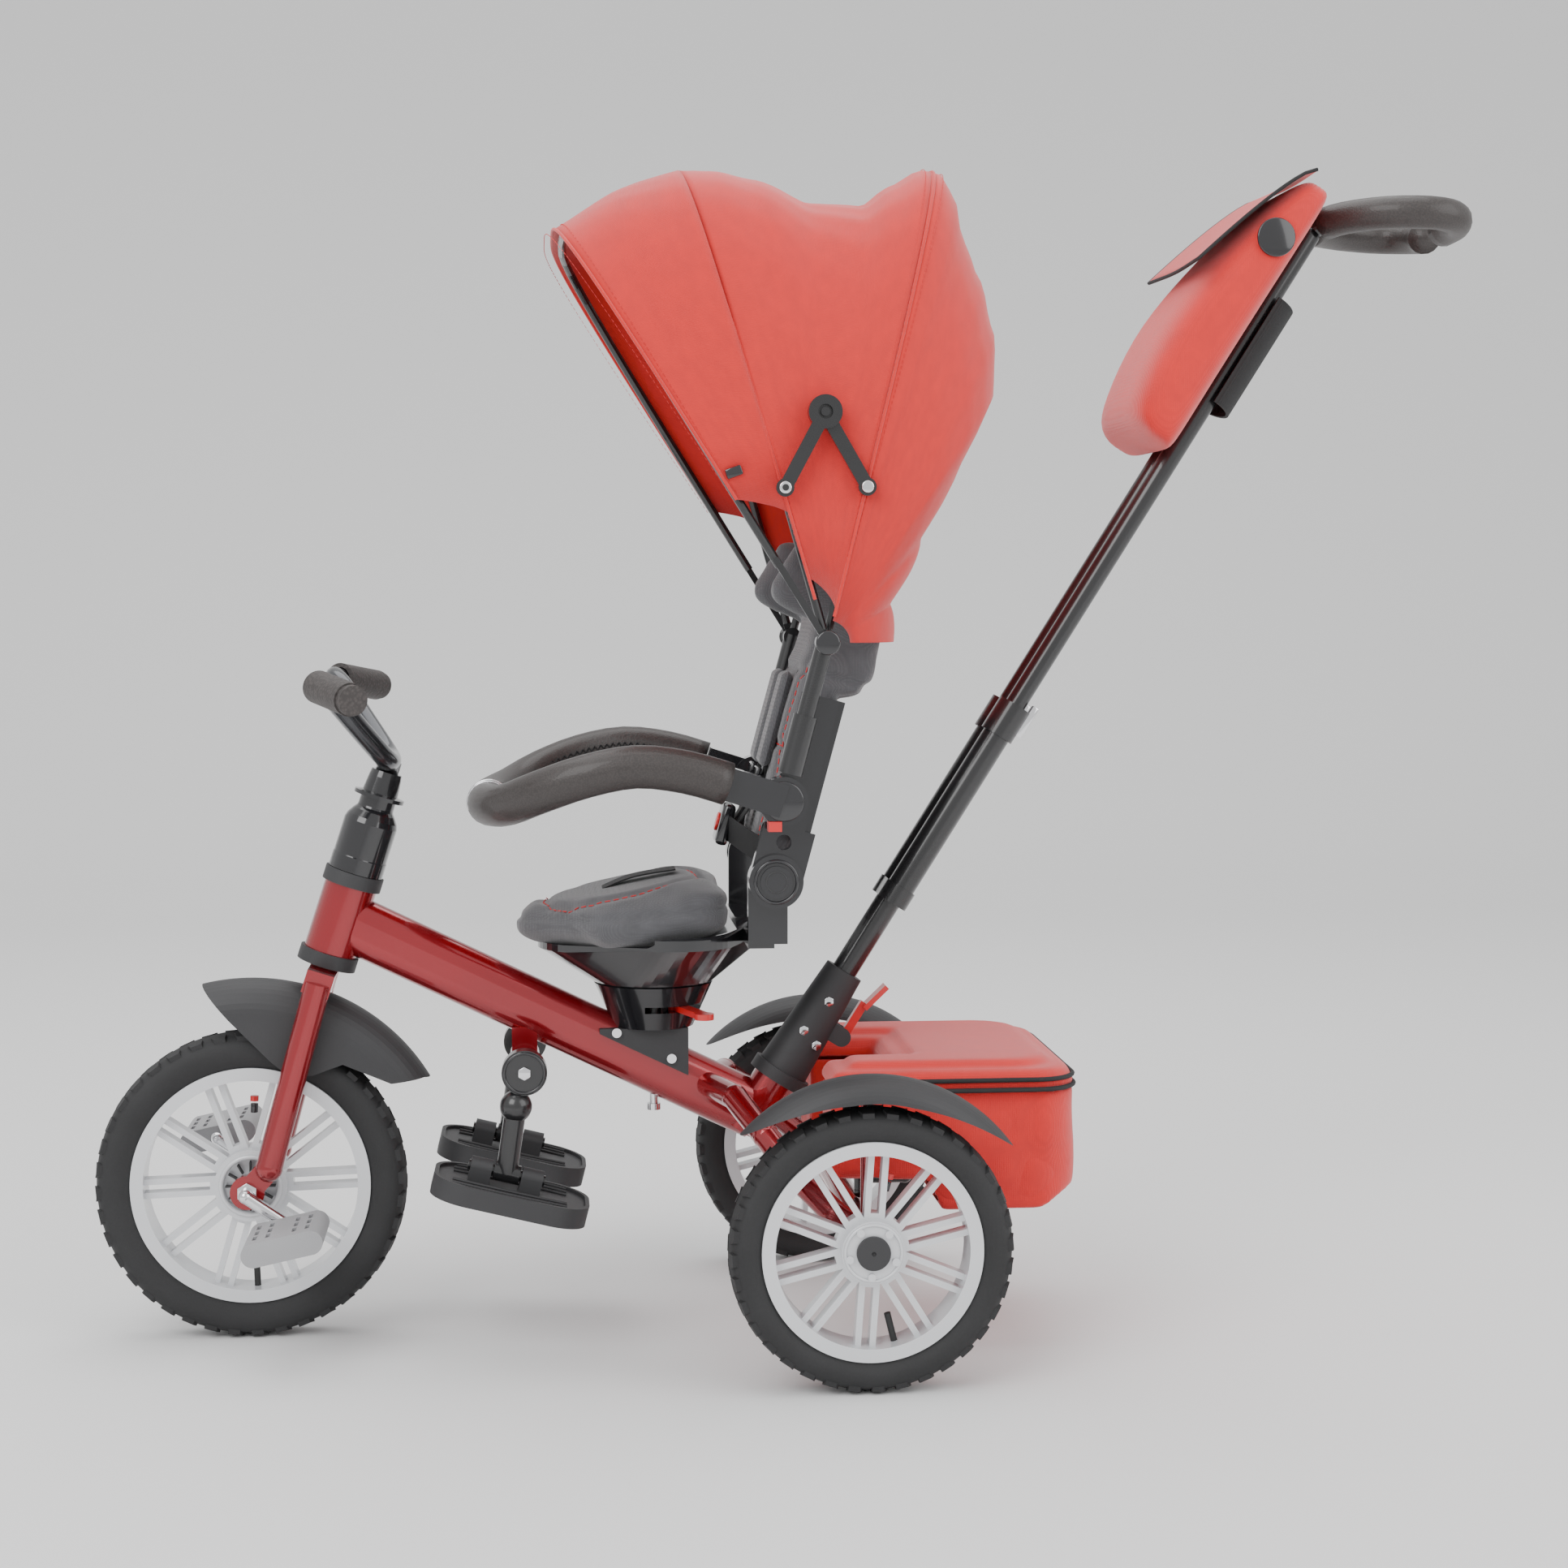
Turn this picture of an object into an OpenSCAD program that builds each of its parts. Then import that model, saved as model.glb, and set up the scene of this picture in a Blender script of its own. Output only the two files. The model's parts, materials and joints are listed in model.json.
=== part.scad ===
// Children's push tricycle with a steerable parent pole, swivel seat and folding canopy.
// Millimetres. +X runs to the rear, +Z up, Y = 0 is the middle plane.
// The origin is on the ground straight below the front axle.

/* [Wheels] */
// Outer radius of the front tyre
front_tyre_r = 146; // [140:1:156]
// Outer radius of the rear tyres
rear_tyre_r = 127; // [122:1:134]
// Outer radius of the front rim
front_rim_r = 112; // [104:1:116]
// Outer radius of the rear rims
rear_rim_r = 98; // [92:1:100]
// Width of every tyre
tyre_w = 46; // [40:1:48]
// Distance from the front axle to the rear axle
wheelbase = 562; // [540:1:640]
// Distance between the middles of the rear tyres
track = 464; // [450:1:540]
// Radius of the rear axle rod and of the pedal crank
axle_r = 6; // [5:0.5:7]
// Twin spokes in each wheel
spoke_pairs = 10; // [8:1:12]

/* [Frame] */
// Radius of the head tube
head_tube_r = 25; // [24:1:28]
// Radius of the steering column
steerer_r = 14; // [12:1:15]
// Width of the flat-sided main tube
main_tube_w = 40; // [34:1:46]
// Depth of the main tube
main_tube_d = 55; // [48:1:60]
// Radius of the two side tubes
side_tube_r = 12; // [10:1:14]
// Length of the head tube
head_tube_l = 66; // [60:1:80]

/* [Steering] */
// Lean of the steering column from upright, in degrees
steer_lean = 18; // [16:1:20]
// Distance from the front axle up to the fork crown
fork_len = 194; // [194:1:215]
// Distance from the middle to each fork blade
fork_half = 45; // [44:1:50]
// Radius of a fork blade
blade_r = 12.5; // [11:0.5:13]
// Radius of the handlebar tube
bar_r = 10; // [9:0.5:11]
// Distance from the middle to each handlebar end
bar_half = 188; // [180:1:210]
// Length of a crank arm
crank_l = 50; // [44:1:58]

/* [Footrest] */
// Distance from the middle to the middle of each footboard
board_half = 86; // [80:1:100]
// Length of a footboard
board_l = 146; // [130:1:150]
// Width of a footboard
board_w = 98; // [80:1:100]

/* [Seat] */
// Place of the seat's turning axis behind the front axle
seat_x = 381; // [376:1:390]
// Height of the seat pad's middle above its turntable
seat_pad_h = 62; // [58:1:68]
// Width of the seat pad
seat_pad_w = 226; // [200:1:230]
// Distance from the middle to the outside of the seat's hinge ears
ear_half = 130; // [126:1:140]

/* [Backrest] */
// Lean of the backrest from upright, in degrees
back_lean = 15; // [12:1:17]
// Length of the backrest pad
back_pad_l = 330; // [300:1:345]
// Radius of the round recline buttons
button_r = 14.5; // [12:0.5:16]

/* [Safety bar] */
// Radius of the padded safety bar
guard_r = 19.5; // [17:0.5:20]
// Distance from the middle to the padded bar at its sides
guard_half = 165; // [164:1:175]
// Reach of the bar in front of its pivots
guard_reach = 266; // [252:1:285]

/* [Canopy] */
// Distance from the canopy pivots up to the top of each bow
canopy_r = 442; // [410:1:460]
// Distance from the middle to each canopy pole
pole_half = 154; // [153:1:162]
// Angle between the rear bow and the front bow
bow_spread = 30; // [28:1:34]
// Angle between the front bow and the visor bow
visor_spread = 16; // [14:1:18]
// Thickness of the canopy cloth with its lining
cloth_t = 2.5; // [2:0.5:3]

/* [Push pole] */
// Lean of the push pole from upright, in degrees
pole_lean = 32.2; // [31:0.1:34]
// Distance along the pole from its foot to the telescopic collars
collar_s = 441; // [420:1:460]
// Distance along the pole from its foot to the handle
handle_s = 990; // [950:1:1040]
// Radius of the upper tubes
upper_tube_r = 10; // [8:0.5:10]
// Distance from the middle to each upper tube
twin_half = 20; // [19:1:24]

/* [Bags] */
// Width of the basket bag
basket_w = 280; // [250:1:296]
// Width of the parent's pouch on the pole
pouch_w = 210; // [180:1:240]

/* [Fits] */
// Radial clearance of a turning or sliding fit
run_fit = 0.06; // [0.03:0.01:0.1]
// Gap between parts that lie close but don't touch
near_gap = 0.4; // [0.3:0.1:0.6]

/* [Hidden] */
$fn = 64;
weld = 0.4;

// ---- Wheels ----
bed_depth = 8;            // rim bed below the rim's edge
rim_w = 38;               // overall width of a rim
flange_t = 3;             // thickness of a rim's edge flange
bed_t = 4;                // thickness of the rim bed
valve_r = 3;
front_hub_r = 34;
rear_hub_r = 28;
hub_half = 19;            // half the width of a hub
front_axle = [0, front_tyre_r];
rear_axle_at = [wheelbase, rear_tyre_r];
wheel_half = track / 2;
fender_half_w = tyre_w / 2 + 7;
cap_t = 4;

// ---- Steering column: distances s run up the column from beside the front axle ----
fork_offset = 4;          // the column passes this far behind the front axle
crown_t = 22;
crown_s = fork_len;
cup_r = head_tube_r + 3;
cup_t = 13;
lower_cup_s = crown_s + crown_t + 2;
head_s = lower_cup_s + cup_t;
upper_cup_s = head_s + head_tube_l;
sleeve_s = upper_cup_s + cup_t + near_gap;
sleeve_l = 73;
cap_s = sleeve_s + sleeve_l;
bar_s = cap_s + 37;
stem_r = 11;
eye_r = 16;
tip_t = 8;
crank_half = fork_half + blade_r + axle_r + 1.5;
crank_angle = -35;
pedal_w = 80;
pedal_l = 74;
pedal_t = 22;
pedal_tilt = 12;

// ---- Frame ----
tube_front = on_column(head_s + head_tube_l / 2);
pole_foot = [wheelbase - 82, rear_tyre_r + 78];
tube_slope = atan((tube_front[1] - pole_foot[1]) / (pole_foot[0] - tube_front[0]));
socket_tube_r = 23;
socket_tube_s = [-22, 36];
axle_tube_half = wheel_half - hub_half - near_gap;

// ---- Footrest ----
rest_pivot = [258, tube_z(258) - main_tube_d / 2 / cos(tube_slope) - 20];
rest_rod_r = 8;
knee_drop = 32;
board_tilt = 14;
board_t = 16;
hinge_bar_r = 5;
board_hinge = [rest_pivot[0] - 17, rest_pivot[1] - 94];
board_drop = 13;

// ---- Seat ----
seat_clamp_top = tube_z(seat_x) + 38;
clamp_x = seat_x - 10;
base_h = 42;
turntable_z = seat_clamp_top + base_h;
swivel_pin_r = 12;
pan_z = turntable_z + 45;
lever_z = seat_clamp_top + 20;
lever_at = [seat_x + 21, -22];

// ---- Backrest, in its own leaning axes from the recline hinge ----
hinge_at = [seat_x + 105, pan_z + 65];
ear_r = 24;
ear_t = 12;
rail_in = ear_half + near_gap;
rail_out = rail_in + 12;
boss_out = rail_out + 7;
recline_pin_r = 6;
guard_z = 73;
guard_x = -14;
guard_pin_r = 8;
guard_disc_r = 22;
pivot_z = 220;

// ---- Canopy: angles from the backrest's own line, negative to the front ----
rear_angle = -1;
front_angle = rear_angle - bow_spread;
visor_angle = front_angle - visor_spread;
bow_r = 4;
bow_half = pole_half + 13;
cloth_half = bow_half + 8;
leg_s = 142;              // from the canopy pivots to the stretcher's ends
knee_s = sqrt(leg_s * leg_s - pow(leg_s * sin(bow_spread / 2), 2)) + 66;
leg_in = cloth_half + 4;
bow_cover = 0.9;          // degrees of cloth that lie flat on each side of a bow
over_bow = canopy_r + 2;
// Angle and reach of the cloth at its middle, over each stretch
visor_profile = [[visor_angle - bow_cover, over_bow], [visor_angle + bow_cover, over_bow],
                 [visor_angle + visor_spread / 2, over_bow + 4],
                 [front_angle - 2 * bow_cover, over_bow + 2]];
middle_profile = [[front_angle - bow_cover, over_bow], [front_angle + bow_cover, over_bow],
                  [front_angle + 2.2, over_bow - 1], [front_angle + 4, over_bow - 9],
                  [front_angle + 8, over_bow - 20], [(front_angle + rear_angle) / 2, over_bow - 44],
                  [rear_angle - 8, over_bow - 46], [rear_angle - 4.5, over_bow - 20],
                  [rear_angle - 2 * bow_cover, over_bow]];
rear_profile = [[rear_angle - bow_cover, over_bow], [rear_angle + bow_cover, over_bow],
                [rear_angle + 2.2, over_bow - 5], [rear_angle + 5, over_bow - 40],
                [rear_angle + 9, over_bow - 70], [rear_angle + 15, over_bow - 112],
                [rear_angle + 21, over_bow - 157], [rear_angle + 25, over_bow - 240],
                [rear_angle + 30, over_bow - 310], [rear_angle + 47, over_bow - 370],
                [rear_angle + 76, over_bow - 376]];

// ---- Push pole: distances s run up the pole from its foot ----
pole_r = 12.5;
socket_top_s = 160;
twin_s = 248;
sleeve_wall = 3.5;
collar_l = 34;
lever_s = 104;
lever_x = 31;
grip_r = 15;
handle_grip_r = 15.5;

// ==== Helpers ====
function on_column(s) = [fork_offset + s * sin(steer_lean), front_tyre_r + s * cos(steer_lean)];
function tube_z(x) = tube_front[1] - (x - tube_front[0]) * tan(tube_slope);
function unit(v) = v / norm(v);
function mirror_path(half) = concat([for (i = [len(half) - 1:-1:1]) [half[i][0], -half[i][1], half[i][2]]], half);

module at_xz(p, y = 0) translate([p[0], y, p[1]]) children();
module column(s) at_xz(on_column(s)) rotate([0, steer_lean, 0]) children();
module pole(s = 0) at_xz(pole_foot) rotate([0, pole_lean, 0]) translate([0, 0, s]) children();
module back() at_xz(hinge_at) rotate([0, back_lean, 0]) children();
module both_sides() for (side = [-1, 1]) on_side(side) children();
module on_side(side) mirror([0, side < 0 ? 1 : 0, 0]) children();
// A cylinder along Y from y0 to y1
module across(r, y0, y1) translate([0, y0, 0]) rotate([-90, 0, 0]) cylinder(r = r, h = y1 - y0);
// A rod between two points
module rod(a, b, r) {
    d = b - a;
    translate(a) rotate([0, acos(d[2] / norm(d)), atan2(d[1], d[0])]) cylinder(r = r, h = norm(d));
}
// A tube or rod through a list of points, with a low round weld at each one
module chain(pts, r) {
    for (i = [0:len(pts) - 2]) rod(pts[i], pts[i + 1], r);
    for (p = pts) translate(p) sphere(r + weld);
}

// Smooth curve through points
function spline_point(p, i, t) =
    let (a = p[max(i - 1, 0)], b = p[i], c = p[i + 1], d = p[min(i + 2, len(p) - 1)])
    ((2 * b) + (c - a) * t + (2 * a - 5 * b + 4 * c - d) * t * t
     + (3 * b - a - 3 * c + d) * t * t * t) / 2;
function smooth(p, n) = concat(
    [for (i = [0:len(p) - 2], k = [0:n - 1]) spline_point(p, i, k / n)], [p[len(p) - 1]]);

// A closed round bar along a list of points
function tangents(p) = [for (i = [0:len(p) - 1])
    unit(p[min(i + 1, len(p) - 1)] - p[max(i - 1, 0)])];
function frames(t, start) = [for (i = 0, n = unit(start - (start * t[0]) * t[0]);
    i < len(t);
    i = i + 1, n = i < len(t) ? unit(n - (n * t[i]) * t[i]) : n) n];
module sweep(p, r, sides = 24, start = [0.3, 0, 1]) {
    t = tangents(p);
    n = frames(t, start);
    points = [for (i = [0:len(p) - 1], k = [0:sides - 1])
        p[i] + r * (cos(360 * k / sides) * n[i] + sin(360 * k / sides) * cross(t[i], n[i]))];
    walls = [for (i = [0:len(p) - 2], k = [0:sides - 1])
        [i * sides + k, (i + 1) * sides + k, (i + 1) * sides + (k + 1) % sides, i * sides + (k + 1) % sides]];
    first = [for (k = [0:sides - 1]) k];
    last = [for (k = [sides - 1:-1:0]) (len(p) - 1) * sides + k];
    polyhedron(points, concat(walls, [first, last]), convexity = 10);
}

// The same with a hole through it
module hollow_sweep(p, r, r_in, sides) {
    t = tangents(p);
    n = frames(t, [0, 0, 1]);
    rings = len(p);
    points = [for (q = [r, r_in], i = [0:rings - 1], k = [0:sides - 1])
        p[i] + q * (cos(360 * k / sides) * n[i] + sin(360 * k / sides) * cross(t[i], n[i]))];
    m = rings * sides;
    outer = [for (i = [0:rings - 2], k = [0:sides - 1]) let (j = (k + 1) % sides)
        [i * sides + k, (i + 1) * sides + k, (i + 1) * sides + j, i * sides + j]];
    inner = [for (f = outer) [m + f[0], m + f[3], m + f[2], m + f[1]]];
    e = (rings - 1) * sides;
    ends = [for (k = [0:sides - 1]) let (j = (k + 1) % sides) each
        [[k, j, m + j, m + k], [e + k, m + e + k, m + e + j, e + j]]];
    polyhedron(points, concat(outer, inner, ends), convexity = 10);
}

// A side view drawn in X and Z, given a width in Y
module side_plate(y0, y1) translate([0, y1, 0]) rotate([90, 0, 0]) linear_extrude(y1 - y0) children();

// ==== Wheels ====
module tyre_outline(r, rim_r) {
    bed_half = rim_w / 2 - flange_t;
    mid = (r + rim_r) / 2;
    rise = r - mid;
    side = asin(bed_half / (tyre_w / 2));
    difference() {
        polygon(concat(
            [[rim_r - bed_depth, -bed_half], [rim_r, -bed_half]],
            [for (a = [side - 180:12:180 - side + 1]) let (b = min(a, 180 - side))
                [mid + rise * cos(b), tyre_w / 2 * sin(b)]],
            [[rim_r, bed_half], [rim_r - bed_depth, bed_half]]));
        translate([mid, 0]) circle(rise - 4);
    }
}
module tyre(at, y, r, rim_r, valve_angle) {
    at_xz(at, y) rotate([-90, 0, 0]) difference() {
        rotate_extrude($fn = 96) tyre_outline(r, rim_r);
        valve_hole(rim_r, valve_angle, (r + rim_r) / 2);
    }
}
module valve_hole(rim_r, angle, to) {
    rotate([0, 0, -angle]) rotate([0, 90, 0]) cylinder(r = valve_r + 0.3, h = to, $fn = 24);
}
// Inner tube with its valve stem, which reaches in through the rim bed
module inner_tube(at, y, r, rim_r, valve_angle, stem) {
    mid = (r + rim_r) / 2;
    ring = r - mid - 4.4;
    at_xz(at, y) rotate([-90, 0, 0]) {
        difference() {
            rotate_extrude($fn = 96) translate([mid, 0]) difference() {
                circle(ring);
                circle(ring - 1.6);
            }
            rotate([0, 0, -valve_angle]) rotate([0, 90, 0])
                cylinder(r = 1.2, h = mid - ring + 3, $fn = 24);
        }
        rotate([0, 0, -valve_angle]) rotate([0, 90, 0]) translate([0, 0, mid - ring - stem])
            difference() {
                cylinder(r = valve_r, h = stem + 0.5, $fn = 24);
                translate([0, 0, 4]) cylinder(r = 1.2, h = stem, $fn = 24);
            }
    }
}
module spoke_pair(hub_r, rim_r, gap) {
    w = 5.5;
    far = rim_r - bed_depth - bed_t + 1;
    for (s = [-1, 1]) translate([hub_r - 4, s * gap - w / 2]) square([far - hub_r + 4, w]);
    translate([hub_r - 4, -gap]) square([9, 2 * gap]);
}
module rim_body(rim_r, hub_r, first_angle) {
    bed_r = rim_r - bed_depth;
    rotate_extrude($fn = 96) polygon([
        [bed_r - bed_t, -rim_w / 2], [rim_r, -rim_w / 2], [rim_r, -rim_w / 2 + flange_t],
        [bed_r, -rim_w / 2 + flange_t], [bed_r, rim_w / 2 - flange_t],
        [rim_r, rim_w / 2 - flange_t], [rim_r, rim_w / 2], [bed_r - bed_t, rim_w / 2]]);
    translate([0, 0, -9]) linear_extrude(15) {
        for (k = [0:spoke_pairs - 1]) rotate(-(first_angle + k * 360 / spoke_pairs))
            spoke_pair(hub_r, rim_r, 6.5);
        circle(hub_r - 2);
    }
}
module front_rim() color("silver") at_xz(front_axle) rotate([-90, 0, 0]) difference() {
    union() {
        rim_body(front_rim_r, front_hub_r, 2);
        translate([0, 0, -hub_half]) cylinder(r = front_hub_r, h = 2 * hub_half);
        for (s = [-1, 1]) translate([0, 0, s * (fork_half - tip_t / 2 - near_gap + hub_half) / 2])
            cylinder(r = axle_r + 6, h = fork_half - tip_t / 2 - near_gap - hub_half, center = true);
    }
    cylinder(r = axle_r + run_fit, h = 4 * fork_half, center = true);
    for (s = [-1, 1]) translate([0, 0, s * hub_half]) difference() {
        cylinder(r = 25, h = 12, center = true);
        cylinder(r = axle_r + 6, h = 13, center = true);
    }
    valve_hole(front_rim_r, -88, front_rim_r);
}
module rear_rim(side) color("silver") at_xz(rear_axle_at, side * wheel_half) rotate([-90, 0, 0]) difference() {
    union() {
        rim_body(rear_rim_r, rear_hub_r, 14);
        translate([0, 0, -hub_half]) cylinder(r = rear_hub_r, h = 2 * hub_half);
        for (k = [0:4]) rotate([0, 0, -(50 + 72 * k)]) translate([21.5, 0, side * (hub_half + 0.8)])
            cylinder(r = 3.5, h = 4, center = true);
    }
    cylinder(r = axle_r + run_fit, h = 3 * rim_w, center = true);
    valve_hole(rear_rim_r, -76, rear_rim_r);
}
module hub_cap(side) color("black") at_xz(rear_axle_at) on_side(side)
    difference() {
        across(15, wheel_half + hub_half, wheel_half + hub_half + cap_t);
        translate([0, wheel_half + hub_half + cap_t, 0]) sphere(2);
    }

// ==== Frame ====
module main_tube_solid() {
    straight = main_tube_d - main_tube_w;
    length = norm([pole_foot[0] - tube_front[0], tube_front[1] - pole_foot[1]]);
    at_xz(tube_front) rotate([0, 90 + tube_slope, 0]) linear_extrude(length) {
        for (s = [-1, 1]) translate([s * straight / 2, 0]) circle(main_tube_w / 2);
        translate([-straight / 2, -main_tube_w / 2]) square([straight, main_tube_w]);
    }
}
side_tube = [[tube_front[0] + 345, 10, tube_z(tube_front[0] + 345) + 6], [wheelbase - 108, 70, 232],
             [wheelbase - 84, 128, rear_tyre_r + 80], [wheelbase - 58, 170, rear_tyre_r + 50],
             [wheelbase - 28, axle_tube_half - 22, rear_tyre_r + 22],
             [wheelbase - 3, axle_tube_half - 22, rear_tyre_r + 3]];
module frame() color("firebrick") {
    difference() {
        union() {
            column(head_s) cylinder(r = head_tube_r, h = head_tube_l);
            main_tube_solid();
            pole(socket_tube_s[0]) cylinder(r = socket_tube_r, h = socket_tube_s[1] - socket_tube_s[0]);
            both_sides() chain(side_tube, side_tube_r);
            at_xz(rear_axle_at) across(side_tube_r + 1.5, -axle_tube_half, axle_tube_half);
            both_sides() fender_post();
            footrest_lug();
        }
        column(head_s - 1) cylinder(r = head_tube_r - 6 + run_fit, h = head_tube_l + 2);
        pole(socket_tube_s[0] + 6) cylinder(r = 18 + run_fit, h = 100);
        at_xz(rear_axle_at) across(axle_r + run_fit, -wheel_half, wheel_half);
        at_xz(rest_pivot) across(rest_rod_r + run_fit, -main_tube_w, main_tube_w);
        at_xz(under_bolt) translate([0, 0, -30]) cylinder(r = 4 + run_fit, h = 60, $fn = 24);
    }
}
under_bolt = [seat_x, tube_z(seat_x) - main_tube_d / 2 / cos(tube_slope)];
module footrest_lug() at_xz(rest_pivot) {
    across(14, -main_tube_w / 2 + 2, main_tube_w / 2 - 2);
    translate([-12, -main_tube_w / 2 + 3, 0]) cube([24, main_tube_w - 6, 30]);
}
module fender_post() at_xz(rear_axle_at, wheel_half - fender_half_w - 5)
    cylinder(r = 5, h = rear_tyre_r + 10);
module headset_cups() color("#1c1c1e") {
    column(lower_cup_s) cup(1);
    column(upper_cup_s) cup(-1);
}
module cup(up) difference() {
    union() {
        cylinder(r = cup_r, h = cup_t);
        translate([0, 0, up > 0 ? cup_t : -8]) cylinder(r = head_tube_r - 6, h = 8);
    }
    translate([0, 0, -10]) cylinder(r = steerer_r + run_fit, h = cup_t + 20);
}
module rear_axle() color("silver") at_xz(rear_axle_at)
    across(axle_r, -wheel_half - hub_half + 1, wheel_half + hub_half - 1);
module arch_outline(foot, rise, half, t) polygon(concat(
    [for (a = [-90:10:90]) [foot + rise * cos(a), half * sin(a)]],
    [for (a = [90:-10:-90]) [foot + (rise - t) * cos(a), (half - t) * sin(a)]]));
module rear_fender(side) color("#2b2b2d") difference() {
    at_xz(rear_axle_at, side * wheel_half) rotate([-90, 0, 0])
        rotate([0, 0, -143]) rotate_extrude(angle = 113, $fn = 96)
            arch_outline(rear_tyre_r + 7, 21, fender_half_w, 2.5);
    at_xz([wheelbase - 5, rear_tyre_r - 87]) across(220, side * wheel_half - 60, side * wheel_half + 60);
}
module basket_carrier() color("#1c1c1e") both_sides() {
    y = 90;
    z = basket_floor - 6.3;
    chain([[wheelbase + 8, y, rear_tyre_r + side_tube_r + 6.5], [wheelbase + 8, y, z], [wheelbase + 50, y, z]], 6);
}
basket_floor = rear_tyre_r + 38;
basket_bottom = rear_tyre_r + 8;
basket_lid_z = rear_tyre_r + 119;
basket_x = [wheelbase - 26, wheelbase + 207];
module basket_side(z_top) polygon([
    [basket_x[0], z_top], [basket_x[1], z_top], [basket_x[1], basket_bottom + 20],
    [basket_x[1] - 36, basket_bottom], [basket_x[1] - 128, basket_bottom],
    [basket_x[1] - 143, basket_floor], [basket_x[0], basket_floor]]);
module basket_plan(shrink = 0) {
    half = basket_w / 2 - shrink;
    x0 = basket_x[0] + shrink;
    x1 = basket_x[1] - shrink;
    difference() {
        union() {
            translate([x0, -half]) square([x1 - x0 - 40, 2 * half]);
            translate([x0, -half + 40]) square([x1 - x0, 2 * half - 80]);
            for (s = [-1, 1]) translate([x1 - 40, s * (half - 40)]) circle(40);
        }
        translate([wheelbase - 40, -52 - shrink]) square([78 + shrink, 104 + 2 * shrink]);
    }
}
module basket_solid(shrink, z0, z1) intersection() {
    translate([0, 0, z0]) linear_extrude(z1 - z0) basket_plan(shrink);
    side_plate(-basket_w, basket_w) basket_side(z1 + 1);
}
module basket_bag() color("tomato") difference() {
    basket_solid(0, basket_bottom, basket_lid_z);
    translate([0, 0, 3]) basket_solid(3, basket_bottom, basket_lid_z);
}
module basket_lid() color("tomato") {
    z = basket_lid_z + near_gap;
    translate([0, 0, z]) linear_extrude(10) basket_plan(0);
    translate([0, 0, z + 10]) linear_extrude(9) basket_plan(5);
    translate([0, 0, z + 19]) linear_extrude(7) basket_plan(22);
}
module seat_clamp() color("#1c1c1e") difference() {
    intersection() {
        at_xz([clamp_x, 0], -27) translate([-42, 0, 0]) cube([84, 54, seat_clamp_top]);
        at_xz([clamp_x, tube_z(clamp_x) + 8], -40) rotate([0, tube_slope, 0]) translate([-60, 0, 0])
            cube([120, 80, 80]);
    }
    main_tube_solid();
}
module swivel_base() color("#1c1c1e") difference() {
    at_xz([seat_x, seat_clamp_top]) {
        difference() {
            cylinder(r1 = 38, r2 = 57, h = base_h);
            translate([-10, -62, lever_z - seat_clamp_top - 3.2]) cube([80, 60, 6.4]);
        }
        cylinder(r = swivel_pin_r, h = base_h + 18);
        translate([lever_at[0] - seat_x, lever_at[1], 10]) cylinder(r = 3, h = 20, $fn = 32);
    }
    main_tube_solid();
}
module swivel_lever() color("red") translate([lever_at[0], lever_at[1], lever_z - 2.8]) difference() {
    union() {
        cylinder(r = 8, h = 5.6);
        rotate([0, 0, -70]) translate([5, -6, 0]) cube([61, 12, 5.6]);
        rotate([0, 0, -70]) translate([66, 0, 0]) cylinder(r = 9, h = 5.6);
    }
    translate([0, 0, -1]) cylinder(r = 3 + run_fit, h = 8, $fn = 32);
}
module frame_bolts() color("silver") {
    at_xz(under_bolt) translate([0, 0, -14]) {
        cylinder(r = 4, h = 30, $fn = 24);
        cylinder(r = 6.5, h = 6, $fn = 24);
    }
    both_sides() for (x = [-26, 26]) at_xz([clamp_x + x, tube_z(clamp_x + x) + 17], 27)
        across(4.5, 0, 3, $fn = 24);
}

// ==== Fork and handlebar ====
module fork() color("firebrick") {
    crown = on_column(crown_s + 11);
    knee = [front_axle[0] + 20, front_axle[1] + 22];
    difference() {
        union() {
            column(crown_s) translate([-13, -fork_half - 5, 0]) cube([26, 2 * fork_half + 10, crown_t]);
            column(crown_s + 2) cylinder(r = steerer_r, h = cap_s + 15.5 - crown_s);
            both_sides() {
                rod([crown[0], fork_half, crown[1]], [knee[0], fork_half, knee[1]], blade_r);
                at_xz(knee, fork_half) sphere(blade_r + weld);
                fork_tip(knee);
            }
        }
        at_xz(front_axle) across(axle_r + run_fit, -2 * fork_half, 2 * fork_half);
    }
}
module fork_tip(knee) {
    run = norm([knee[0] - front_axle[0], knee[1] - front_axle[1]]);
    at_xz(front_axle) across(eye_r, fork_half - tip_t / 2, fork_half + tip_t / 2);
    at_xz(front_axle) rotate([0, atan2(knee[0] - front_axle[0], knee[1] - front_axle[1]), 0])
        translate([-11, fork_half - tip_t / 2, 9]) cube([22, tip_t, run - 9]);
}
module fork_sleeve() color("#1c1c1e") column(sleeve_s) difference() {
    rotate_extrude() polygon([[0, 0], [26, 0], [26, 14], [25.5, 15], [25.5, 48], [24, 53], [20, 59],
        [17.5, 62], [17, 64], [17, sleeve_l], [0, sleeve_l]]);
    translate([0, 0, -1]) cylinder(r = steerer_r + run_fit, h = sleeve_l + 2);
}
module sleeve_cap() color("#1c1c1e") column(cap_s) difference() {
    rotate_extrude() polygon([[0, 0], [24, 0], [24, 3.5], [17, 5], [15.5, 20], [14.5, 26], [0, 26]]);
    translate([0, 0, -1]) cylinder(r = steerer_r + run_fit, h = 19);
    translate([0, 0, 17]) cylinder(r = stem_r + run_fit, h = 10);
}
bar_base = on_column(bar_s);
grip_start = [bar_base[0] - 56, 126, bar_base[1] + 74];
grip_end = [bar_base[0] - 24, bar_half, bar_base[1] + 65];
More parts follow.
